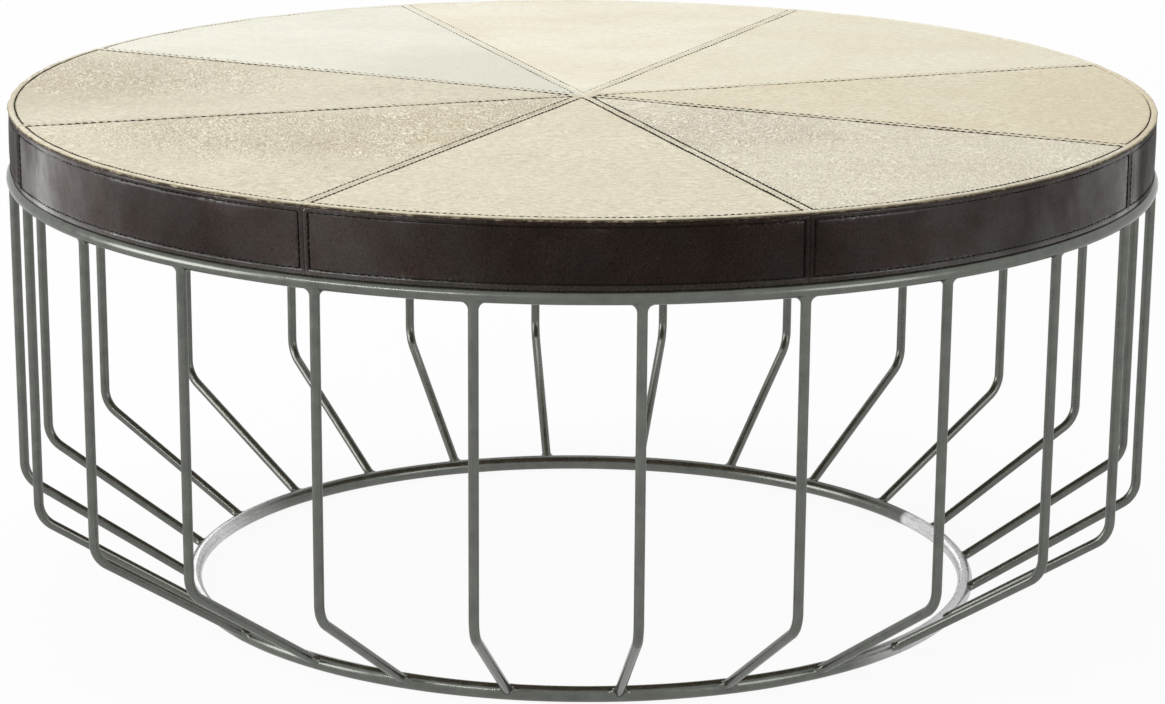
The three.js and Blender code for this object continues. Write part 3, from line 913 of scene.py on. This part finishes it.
# Stitches in a row: each is a short thread that rises out of one hole and dips into the next. Along the
# thread t runs from -1 to 1, the height is arch (1 - t^6) - sink t^8, and the thickness falls off
# with t^2.
def stitchPoints(place, way, out, reach, bold, c):
    t = np.array(stitchShape["sections"])[:, None]
    side = turnsRound(stitchShape["sides"])[None, :]
    thickness = c["thread"] * bold[:, None, None] * (1 - stitchShape["taper"] * t ** 2)
    y = thickness * np.cos(side)
    z = c["arch"] * (1 - t ** 6) - c["sink"] * t ** 8 + thickness * np.sin(side)
    parts = [(t + 0 * side + 0 * y, way * reach[:, None]), (y, np.cross(out, way)), (z, out)]
    return place[:, None, None] + sum(part[..., None] * axis[:, None, None] for part, axis in parts)


# One stitch's faces, a tube with two quads at each end, repeated for them all
def stitchFaces(count):
    sections, sides = len(stitchShape["sections"]), stitchShape["sides"]
    cap = np.array([[0, 1, 2, 3], [0, 3, 4, 5]])
    one = np.concatenate([gridFaces(sections, sides, closeColumns=True), cap[:, ::-1],
                          cap + (sections - 1) * sides])
    return (one[None] + np.arange(count)[:, None, None] * sections * sides).reshape(-1, 4)


# The row wanders a little to either side. Each stitch leans, strays and sinks in by a random share, and
# covers its share of the pitch.
def addStitches(name, place, way, out, pitch, bold, buried, c, seed):
    draw = np.random.default_rng(seed)
    reach = pitch / 2 * c["cover"] * draw.uniform(*stitchShape["reaches"], len(place))
    lean = draw.normal(0, c["crooked"], len(place))[:, None]
    shift = draw.normal(0, c["stray"], len(place))
    shift = shift + c["wander"] * unevenness(place, stitchShape["wanderLength"], seed)
    deep = unevenness(place, stitchShape["buryLength"], seed + 500)
    deep = deep + draw.normal(0, stitchShape["buryShare"], len(place))
    hidden = np.clip(deep, 0, 2) * c["bury"] + buried
    across = np.cross(out, way)
    turned = way * np.cos(lean) + across * np.sin(lean)
    place = place + across * shift[:, None] - out * hidden[:, None]
    points = stitchPoints(place, turned, out, reach, bold, c)
    count, sections, sides = points.shape[:3]
    u = np.linspace(0, 1, sections)[None, :, None] + np.zeros((count, 1, 1))
    uv = together(u, np.linspace(0, 1, sides))
    addPiece(name, points, stitchFaces(count), darkThread, [], sharpAngle=80, uv=uv)


# The middles of stitches that fill a length at about the wanted pitch, in equal shares of it
def stitchMiddles(start, end, pitch):
    count = max(int(round((end - start) / pitch)), 1)
    return start + (np.arange(count) + 0.5) * (end - start) / count


# How far a point is from the stitch line that runs at a given distance inside two meeting edges. a and b
# are how far the point is inside the line from each edge. Outside, only the negative ones count.
def fromStitchLine(a, b):
    outside = np.hypot(np.minimum(a, 0), np.minimum(b, 0))
    return np.where((a > 0) & (b > 0), np.minimum(a, b), -outside)


# Band

bandShape = {
    "rowFromTop": 4.3 * mm,
    "rowFromBottom": 5.3 * mm,
    "rowFromSeam": 4.3 * mm,
    "valley": 0.45 * mm,
    "valleyInside": 1.0 * mm,
    "valleyOutside": 0.75 * mm,
    "puff": 0.4 * mm,  # of the strips outside the stitches
    "puffReach": 4 * mm,
    "bulge": 0.45 * mm,  # of the face inside them
    "bulgeReach": 18 * mm,
    "edgeRound": 1.1 * mm,
    "seamRound": 0.15 * mm,
    "wrinkle": 0.08 * mm,
    "lumps": 0.22 * mm,
    "wornReach": 0.8 * mm,
    "fineReach": 9 * mm,  # the grid is fine this near to the foot and the seams
    "fineTop": 8 * mm,
    "fineRows": 20,
    "middleRows": 12,
    "fineColumns": 24,
    "middleColumns": 90,
    "easing": 1.4,
    "creaseLength": 11 * mm,
    "creaseLean": 0.3,
    "creaseStretch": 0.4,
    "unevenFrom": 0.25,
    "unevenRate": 2.5,
    "creasePatches": 90 * mm,
    "lumpLength": 70 * mm,
    "pitch": 6.0 * mm,
    "cover": 1.04,
    "thread": 0.4 * mm,
    "arch": 0.3 * mm,
    "sink": 0.4 * mm,
    "crooked": 0.11,
    "stray": 0.2 * mm,
    "wander": 0.28 * mm,
    "bury": 0.12 * mm,
    # along the foot and the top, then beside the seams, where the stitches are bolder and stand out more
    "bold": (1.0, 1.35),
    "buried": (0.04 * mm, -0.5 * mm),
    # how much gloss the leather's coat has and how much painted sheen its colour has, at these degrees round
    # the table
    "glossAndSheenAt": [-150, -100, -72, -69, -66, -63, -60, -56, -45, -34, -27, -21, -16, -10, 0, 16, 24, 36, 45,
                   66, 69.5, 71.5, 100],
    "glossAndSheen": [0.2, 0.04, 0, 0.2, 0.55, 1.0, 1.4, 0.95, 0.38, 0.28, 0.5, 0.72, 0.48, 0.26, 0.1, 0.06, 0.18,
               0.5, 0.44, 0.56, 0.42, 0, 0],
}


# A panel is a closed section carried round its arc: up the outer face, and down the back. The face's
# height over the drum is puff sin(pi o) + bulge sin(pi i / 2) - valley exp(-(line / width)^2) - edge drop,
# where line is the distance from the stitches, o its share outside them and i its share inside. The
# valley has one width inside the stitches and another outside them, and the edges at the seams are rounded
# less than those above and below.
def makeBand(c):
    depth = bandHigh.z - bandLow.z
    radius = drum["radius"]
    halfArc = math.pi / drum["wedges"] * radius
    fine, fineTop = c["fineReach"], depth - c["fineTop"]
    height = np.concatenate([easedFrom(0, fine, c["fineRows"], c["easing"]),
                             np.linspace(fine, fineTop, c["middleRows"])[1:-1],
                             depth - easedFrom(0, c["fineTop"], c["fineRows"], c["easing"])[::-1]])[:, None]
    near = easedFrom(drum["seamGap"] / 2, fine, c["fineColumns"], c["easing"])
    arc = np.concatenate([near, np.linspace(fine, halfArc, c["middleColumns"])[1:]])
    fromSeam = mirrored(arc, arc)[None, :]
    place = mirrored(arc - halfArc, halfArc - arc)[None, :]
    a = fromSeam - c["rowFromSeam"] + 0 * height
    b = np.minimum(height - c["rowFromBottom"], depth - height - c["rowFromTop"]) + 0 * fromSeam
    line = fromStitchLine(a, b)
    fromEdge = np.minimum(height, depth - height) + 0 * fromSeam
    inside = np.clip(line / c["bulgeReach"], 0, 1)
    shape = c["puff"] * np.sin(math.pi * np.clip(-line / c["puffReach"], 0, 1))
    shape = shape + c["bulge"] * np.sin(quarterTurn * inside)
    width = np.where(line > 0, c["valleyInside"], c["valleyOutside"])
    shape = shape - c["valley"] * np.exp(-(line / width) ** 2)
    shape = shape - edgeDrop(fromEdge, c["edgeRound"])
    shape = shape - edgeDrop(fromSeam - drum["seamGap"] / 2 + 0 * height, c["seamRound"])
    ends = halfArc - c["rowFromSeam"]
    level = stitchMiddles(-ends, ends, c["pitch"])
    rise = stitchMiddles(c["rowFromBottom"], depth - c["rowFromTop"], c["pitch"])
    levelCount = (place + ends) / (level[1] - level[0]) + 0 * height
    riseCount = (height - c["rowFromBottom"]) / (rise[1] - rise[0]) + 0 * fromSeam
    values = {
        "line": line / mm,
        "stitch": np.where(a < b, riseCount, levelCount),
        "lowerStrip": np.clip((c["rowFromBottom"] - height) / mm, 0, 1) + 0 * fromSeam,
        "cutEdge": np.exp(-fromEdge / c["wornReach"]),
    }
    backHeight = np.array([depth, depth / 2, 0])[:, None]
    values = {key: np.concatenate([value, value[[-1, -1, 0]]]).T for key, value in values.items()}
    # a row of stitches runs along the panel's foot, along its top, and up each end
    rows = [len(level)] * 2 + [len(rise)] * 2
    isUpright = np.repeat([0, 0, 1, 1], rows)
    rowTurns = np.repeat([-ends / radius, ends / radius], len(rise))
    rowTurns = np.concatenate([level / radius, level / radius, rowTurns])
    heights = np.repeat([c["rowFromBottom"], depth - c["rowFromTop"]], len(level))
    heights = np.concatenate([heights, rise, rise])
    pitch = np.where(isUpright, rise[1] - rise[0], level[1] - level[0])
    for number in range(drum["wedges"]):
        start = number * wholeTurn / drum["wedges"]
        turn = handCut(start + place / radius, 1 - height / depth)
        flat = together(turn * radius + c["creaseLean"] * height, height * c["creaseStretch"])
        patches = 0.5 + 0.5 * unevenness(flat, c["creasePatches"], 70 + number)
        creases = unevenness(flat, c["creaseLength"], 60 + number) * patches
        waves = unevenness(together(turn * radius, height), c["lumpLength"], 80 + number)
        flatter = np.clip(inside * c["unevenRate"] + c["unevenFrom"], 0, 1)
        uneven = (c["wrinkle"] * creases + c["lumps"] * waves) * flatter
        # the coat's gloss and the painted sheen follow the turn round the table
        glossAndSheen = np.interp(np.degrees(turn[:1]), c["glossAndSheenAt"], c["glossAndSheen"], period=360)
        values["glossAndSheen"] = (glossAndSheen + np.zeros((height.size + backHeight.size, 1))).T
        outer = around(radius + shape + uneven, turn, bandLow.z + height)
        turn = handCut(start + place / radius, 1 - backHeight / depth)
        grid = np.concatenate([outer, around(boardHigh.x, turn, bandLow.z + backHeight)]).transpose(1, 0, 2)
        addTube("leatherBand%d" % (number + 1), grid, darkLeather,
                ["band_panel_%d" % (number + 1)], sharpAngle=60, values=values)
        turns = handCut(start + rowTurns, 1 - heights / depth)
        way = np.where(isUpright[:, None], [0.0, 0.0, 1.0], around(1.0, turns + quarterTurn, 0.0))
        at = around(radius - c["valley"], turns, bandLow.z + heights)
        bold, buried = (np.where(isUpright, c[key][1], c[key][0]) for key in ("bold", "buried"))
        addStitches("bandStitches%d" % (number + 1), at, way, around(1.0, turns, 0.0), pitch,
                    bold, buried, c, 90 + number)


makeBand(bandShape)
print("band made")

# Hides

hideShape = {
    "rowFromSeam": 4.4 * mm,
    "rowFromRim": 5.6 * mm,
    "valley": 0.5 * mm,
    "valleyWidth": 0.8 * mm,
    "puff": 0.3 * mm,
    "seamRound": 0.4 * mm,
    "rimRound": 1.0 * mm,
    "overhang": 0.55 * mm,
    "overhangReach": 2 * mm,
    "ragged": 0.28 * mm,
    "raggedLengths": (5 * mm, 45 * mm),
    "hangLength": 7 * mm,
    "uneven": 0.16 * mm,
    "unevenLength": 55 * mm,
    "groove": 0.3 * mm,
    "grooveShare": 0.12,  # of the cut edge's height
    "rough": 0.12 * mm,
    "roughLength": 2.5 * mm,
    "roughHeight": 9 * mm,
    "backReach": 0.3 * mm,
    "creaseShare": 0.12,
    "creaseReach": 0.5 * mm,
    "rawReach": 0.6 * mm,
    "fineRim": 9 * mm,  # the grid is fine this near to the rim and the seams
    "fineSeam": 8.5 * mm,
    "innerRows": 80,
    "rimRows": 28,
    "rimEasing": 1.5,
    "seamColumns": 26,
    "seamEasing": 1.35,
    "middleColumns": 30,
    "edgeRows": 8,
    "underRows": 7,
    "tipReach": 14 * mm,  # the seams' shapes fade out this near to the middle
    "pitch": 7.0 * mm,
    "rimPitch": 5.4 * mm,
    "cover": 0.64,
    # along the seams, from the one right of the front
    "seamCovers": [0.95, 0.86, 0.68, 0.64, 0.64, 0.68, 0.7, 0.66],
    "rimCover": 0.85,
    "thread": 0.53 * mm,
    "arch": 0.8 * mm,
    "sink": 0.7 * mm,
    "crooked": 0.07,
    "stray": 0.14 * mm,
    "wander": 0.2 * mm,
    "bury": 0.16 * mm,
    # how deep each wedge's two seam rows lie in the hair, in mm
    "rowDepths": [(0.05, 0), (0, 0), (0.1, 0.3), (0.5, 0.5), (0.55, 0.5), (0.5, 0.3), (0.12, 0.6), (0, 0.04)],
    # how far the hair covers the rim row, at these degrees round the table
    "coveredAt": [-140, -105, -60, 0, 60, 76, 92, 130],
    "covered": [0.8, 0.2, 0, 0.1, 0, 0.15, 0.8, 1],
    "coverDepth": 1.2 * mm,
    "coverPerDepth": 1.4,  # how far the hair covers a seam row for each mm that it lies deep
}


# A hide is a closed section carried across the wedge from seam to seam: out along the top, down the cut
# edge and back underneath. The top falls by valley exp(-(line / width)^2) - puff sin(pi o), and by the
# rounding of its edges. Two layers meet halfway down the cut edge, in a shallow groove.
def makeHides(c):
    radius = drum["radius"]
    halfTurn = math.pi / drum["wedges"]
    tip = drum["seamGap"] / 2 / math.sin(halfTurn)
    fromRim = np.concatenate([np.linspace(radius - tip, c["fineRim"], c["innerRows"]),
                              easedFrom(0, c["fineRim"], c["rimRows"], c["rimEasing"])[-2::-1]])[:, None]
    reach = radius - fromRim
    near = easedFrom(drum["seamGap"] / 2, c["fineSeam"], c["seamColumns"], c["seamEasing"])[None, :]
    limit = halfTurn * np.linspace(0.02, 0.8, near.shape[1])[None, :]
    close = np.minimum(np.arcsin(np.clip(near / reach, 0, 1)), limit)
    middle = np.linspace(0, 1, c["middleColumns"])[None, 1:]
    half = np.concatenate([close, close[:, -1:] * (1 - middle) + halfTurn * middle], 1)
    turnOffset = np.concatenate([half - halfTurn, halfTurn - half[:, -2::-1]], 1)
    fromMiddle = halfTurn - np.abs(turnOffset)
    fromSeam = reach * np.sin(fromMiddle)
    a, b = fromSeam - c["rowFromSeam"], fromRim - c["rowFromRim"] + 0 * fromSeam
    line = fromStitchLine(a, b)
    narrow = np.clip(reach / c["tipReach"], 0, 1)
    fall = c["valley"] * np.exp(-(line / c["valleyWidth"]) ** 2) * narrow
    fall = fall - c["puff"] * np.sin(math.pi * np.clip(-line / c["rowFromSeam"], 0, 1)) * narrow
    fall = fall + edgeDrop(fromSeam - drum["seamGap"] / 2, c["seamRound"]) * np.clip(narrow, 0.3, 1)
    fall = fall + edgeDrop(fromRim, c["rimRound"])
    # the stitches' places along the seams and along the rim
    first = c["rowFromSeam"] / math.tan(halfTurn)
    rowRadius = radius - c["rowFromRim"]
    out = stitchMiddles(first, math.sqrt(rowRadius ** 2 - c["rowFromSeam"] ** 2), c["pitch"])
    sweep = (halfTurn - math.asin(c["rowFromSeam"] / rowRadius)) * rowRadius
    rim = stitchMiddles(-sweep, sweep, c["rimPitch"])
    seamCount = (reach * np.cos(fromMiddle) - first) / (out[1] - out[0])
    rimCount = (turnOffset * rowRadius + sweep) / (rim[1] - rim[0])
    values = {
        "line": line / mm,
        "stitch": np.where(a < b, seamCount, rimCount),
        "crease": c["creaseShare"] * np.exp(-(fromSeam / c["creaseReach"]) ** 2) * narrow,
        "rawEdge": np.exp(-(fromRim / c["rawReach"]) ** 2) + 0 * fromSeam,
    }
    down = np.linspace(0, 1, c["edgeRows"])[1:, None]
    under = np.linspace(0, 1, c["underRows"])[1:, None]
    outOfSight = np.ones((len(down) + len(under), line.shape[1]))
    ending = {"line": 9.0, "stitch": 0.0, "crease": 0.0, "rawEdge": 1.0}
    values = {key: np.concatenate([value, ending[key] * outOfSight]).T for key, value in values.items()}
    for number in range(drum["wedges"]):
        start = number * wholeTurn / drum["wedges"]
        turn = handCut(start + turnOffset)
        depths = np.array(c["rowDepths"][number])
        covered = np.interp(np.degrees(turn), c["coveredAt"], c["covered"], period=360)
        seamCovered = np.where(turnOffset < 0, depths[0], depths[1]) * c["coverPerDepth"]
        hidden = np.where(a < b, seamCovered, covered)
        values["hidden"] = np.concatenate([hidden, outOfSight]).T
        flat = together(reach * np.sin(turn), reach * np.cos(turn))
        ragged = unevenness(flat, c["raggedLengths"][0], 130 + number)
        ragged = ragged + unevenness(flat, c["raggedLengths"][1], 150)
        spread = (c["overhang"] + c["ragged"] * ragged) * np.exp(-fromRim / c["overhangReach"])
        hang = unevenness(flat, c["hangLength"], 170 + number) * 0.5 * c["ragged"] * np.exp(-fromRim / mm)
        waves = c["uneven"] * unevenness(flat, c["unevenLength"], 110 + number) * narrow
        rise = drum["topHeight"] - fall - waves + hang
        layers = around(radius, turn[-1:], down * c["roughHeight"])
        rough = c["rough"] * unevenness(layers, c["roughLength"], 210 + number)
        groove = c["groove"] * np.exp(-((down - 0.5) / c["grooveShare"]) ** 2)
        edgeHeight = rise[-1] + (drum["hideUnderside"] - rise[-1]) * down
        edge = around(reach[-1] + spread[-1] + rough - groove, turn[-1:], edgeHeight)
        inwards = (radius + c["backReach"]) * (1 - under) + tip * under
        back = around(inwards, turn[-1:], drum["hideUnderside"])
        grid = np.concatenate([around(reach + spread, turn, rise), edge, back]).transpose(1, 0, 2)
        node = "hide_wedge_%d" % (number + 1)
        addTube("hairHide%d" % (number + 1), grid, hairHides[number], [node], sharpAngle=60,
                values=values)
        # the row runs out along one seam, round the rim and back along the other seam
        places, ways = [], []
        for sign in (-1, 1):
            seam = handCut(start + sign * halfTurn)
            away, inwards = around(1.0, seam, 0.0), -sign * around(1.0, seam + quarterTurn, 0.0)
            places.append(out[:, None] * away + c["rowFromSeam"] * inwards)
            ways.append(np.broadcast_to(away, (len(out), 3)))
        turns = handCut(start + rim / rowRadius)
        place = np.concatenate([*places, around(rowRadius, turns, 0.0)])
        place[:, 2] = drum["topHeight"] - c["valley"]
        way = np.concatenate([*ways, around(1.0, turns + quarterTurn, 0.0)])
        covered = np.interp(np.degrees(turns), c["coveredAt"], c["covered"], period=360)
        buried = np.concatenate([np.repeat(depths * mm, len(out)), covered * c["coverDepth"]])
        covers = np.repeat([c["seamCovers"][number - 1], c["seamCovers"][number], c["rimCover"]],
                           [len(out), len(out), len(turns)]) / c["cover"]
        pitch = np.repeat([out[1] - out[0], rim[1] - rim[0]], [2 * len(out), len(turns)]) * covers
        up = np.broadcast_to([0.0, 0.0, 1.0], place.shape)
        addStitches("hideStitches%d" % (number + 1), place, way, up, pitch, np.sqrt(covers),
                    buried, c, 190 + number)


makeHides(hideShape)
print("hides made")

# Under the top: board, rim, tabs and screws

boardShape = {"round": 0.8 * mm, "columns": 192}


# A board turned about the table's axis: its outline of radius and height, carried all the way round
def makePanel(c):
    low, high, radius, r = boardLow.z, boardHigh.z, boardHigh.x, c["round"]
    flat = np.linspace(0.02 * radius, radius - r, 30)
    bow = np.linspace(0, quarterTurn, 5)
    out = np.concatenate([flat, radius - r + r * np.sin(bow)[1:], radius - r + r * np.cos(bow), flat[-2::-1]])
    up = [0 * flat + low, low + r - r * np.cos(bow)[1:], high - r + r * np.sin(bow), 0 * flat[1:] + high]
    grid = around(out[:, None], turnsRound(c["columns"])[None, :], np.concatenate(up)[:, None])
    addTube("topBoard", grid, fibreBoard, ["top_panel"])


rimShape = {"width": 60 * mm, "segments": 4, "round": 1.2 * mm, "fineReach": 4 * mm, "fineRows": 8,
            "easing": 1.6, "columnsFrom": 4.2 * mm, "columns": 60}


# A quarter of the rim: two level sheets whose edges are rounded towards each other
def makeRims(c):
    outer = boardHigh.x
    fine = easedFrom(0, c["fineReach"], c["fineRows"], c["easing"])
    across = np.concatenate([fine, np.linspace(c["fineReach"], c["width"] / 2, c["fineRows"])[1:]])
    out = mirrored(outer - across, outer - c["width"] + across)[:, None]
    halfArc = math.pi / c["segments"] * outer
    arc = np.concatenate([drum["seamGap"] / 2 + fine, np.linspace(c["columnsFrom"], halfArc, c["columns"])])
    offset = mirrored(arc - halfArc, halfArc - arc)[None, :] / outer
    fromEnd = mirrored(arc, arc)[None, :] - drum["seamGap"] / 2
    drop = edgeDrop(np.minimum(mirrored(across, across)[:, None], fromEnd), c["round"])
    for number in range(c["segments"]):
        turn = number * wholeTurn / c["segments"] + offset
        sheets = np.stack([around(out, turn, rimLow.z + drop), around(out, turn, rimHigh.z - 0 * drop)])
        addPiece("rimBlock%d" % (number + 1), sheets, shellFaces(*drop.shape), fibreBoard,
                 ["rim_segment_%d" % (number + 1)])


tabShape = {"count": 4, "reach": 36 * mm, "width": 22 * mm, "round": 0.8 * mm, "bead": 1.9 * mm, "ripples": 9,
            "rippleShare": 0.16, "blunt": 0.96, "beadLength": 1.05, "beadLow": 0.1 * mm, "beadInRod": 0.95,
            "tabInRod": 0.75, "firstTurn": 0.12, "heatReach": 12 * mm}


# A tab: a flat bar with a round end. Its half width at x past the end's centre is sqrt(w^2 - x^2). A bead
# of weld with ripples, a bar whose radius is b (1 + ripple |sin|), joins it to the ring.
def makeTabs(c):
    half = c["width"] / 2
    ringInside = upperRing["radius"] - c["tabInRod"] * upperRing["rod"]
    tip = upperRing["radius"] - c["reach"]
    bow = half * (1 - np.cos(np.linspace(c["firstTurn"], quarterTurn, 14)))
    x = np.concatenate([tip + bow, np.linspace(tip + half, ringInside, 8)[1:]])[:, None]
    width = np.sqrt(half ** 2 - np.clip(tip + half - x, 0, None) ** 2)
    y = width * np.sin(np.linspace(-quarterTurn, quarterTurn, 21))[None, :]
    drop = edgeDrop(np.minimum(width - np.abs(y), x - tip), c["round"])
    s = np.linspace(-1, 1, 41)[:, None]
    ring = turnsRound(12)[None, :]
    ripple = 1 + c["rippleShare"] * np.abs(np.sin(s * c["ripples"] * quarterTurn))
    beadRadius = c["bead"] * np.sqrt(1 - c["blunt"] * s ** 8) * ripple
    beadX = upperRing["radius"] - c["beadInRod"] * upperRing["rod"] + beadRadius * np.cos(ring)
    beadY = s * half * c["beadLength"] + 0 * ring
    beadZ = tabLow.z - c["beadLow"] + beadRadius * np.sin(ring)
    heat = np.exp(-(upperRing["radius"] - x) / c["heatReach"]) + 0 * y
    for number in range(c["count"]):
        turn = number * wholeTurn / c["count"]
        sheets = np.stack([brought(turn, x, y, tabLow.z + drop), brought(turn, x, y, tabHigh.z - 0 * drop)])
        addPiece("steelTab%d" % (number + 1), sheets, shellFaces(*drop.shape), coatedSteel,
                 ["top_tab_%d" % (number + 1)], values={"heat": np.stack([heat] * 2)},
                 uv=np.stack([together(x, y)] * 2))
        addTube("tabWeld%d" % (number + 1), brought(turn, beadX, beadY, beadZ), coatedSteel, [],
                values={"heat": np.ones(beadX.shape)}, uv=together(beadY, beadZ))


screwShape = {"head": 4.7 * mm, "headHeight": 3 * mm, "shank": 2.4 * mm, "slot": 0.55 * mm,
              "slotReach": 2.5 * mm, "slotDepth": 1.7 * mm, "thread": 0.35 * mm, "threadPitch": 1.8 * mm,
              "point": 5 * mm, "crown": 0.42, "crownPower": 2.6, "sides": 72}


# A round-headed screw. Its head is a dome, height (1 - crown (r / R)^power), with a cross sunk into it
# where the smaller of |x| and |y| is less than half the slot's width. Its shank is a rod whose radius
# follows the thread, a wave of the height and the turn.
def makeScrews(c):
    middle = upperRing["radius"] - tabShape["reach"] + tabShape["width"] / 2
    seat = tabLow.z
    turn = turnsRound(c["sides"])[None, :]
    shares = np.linspace(0.03, 1, 34)[:, None]
    r = c["head"] * shares
    x, y = np.abs(r * np.cos(turn)), np.abs(r * np.sin(turn))
    cross = np.clip((c["slot"] - np.minimum(x, y)) / (0.15 * mm), 0, 1)
    cross = cross * np.clip((c["slotReach"] - np.maximum(x, y)) / (0.5 * mm), 0, 1)
    dome = -c["headHeight"] * (1 - c["crown"] * shares ** c["crownPower"]) + c["slotDepth"] * cross
    length = np.linspace(0, screwHigh.z - seat, 120)[:, None] + 0 * turn
    taper = np.clip((screwHigh.z - seat - length) / c["point"], 0.04, 1)
    ridge = c["thread"] * np.clip(np.sin(wholeTurn * length / c["threadPitch"] - turn), -0.2, 1)
    body = (c["shank"] - c["thread"] + ridge) * taper
    radius = np.concatenate([r + 0 * turn, c["head"] + 0 * turn, body])
    rise = seat + np.concatenate([dome, 0 * turn, length])
    for number in range(tabShape["count"]):
        at = number * wholeTurn / tabShape["count"]
        grid = together(radius * np.cos(turn), radius * np.sin(turn), rise) + around(middle, at, 0.0)
        addTube("crossScrew%d" % (number + 1), grid, zincPlate, ["tab_screw_%d" % (number + 1)],
                sharpAngle=35)


makePanel(boardShape)
makeRims(rimShape)
makeTabs(tabShape)
makeScrews(screwShape)
print("underside made")
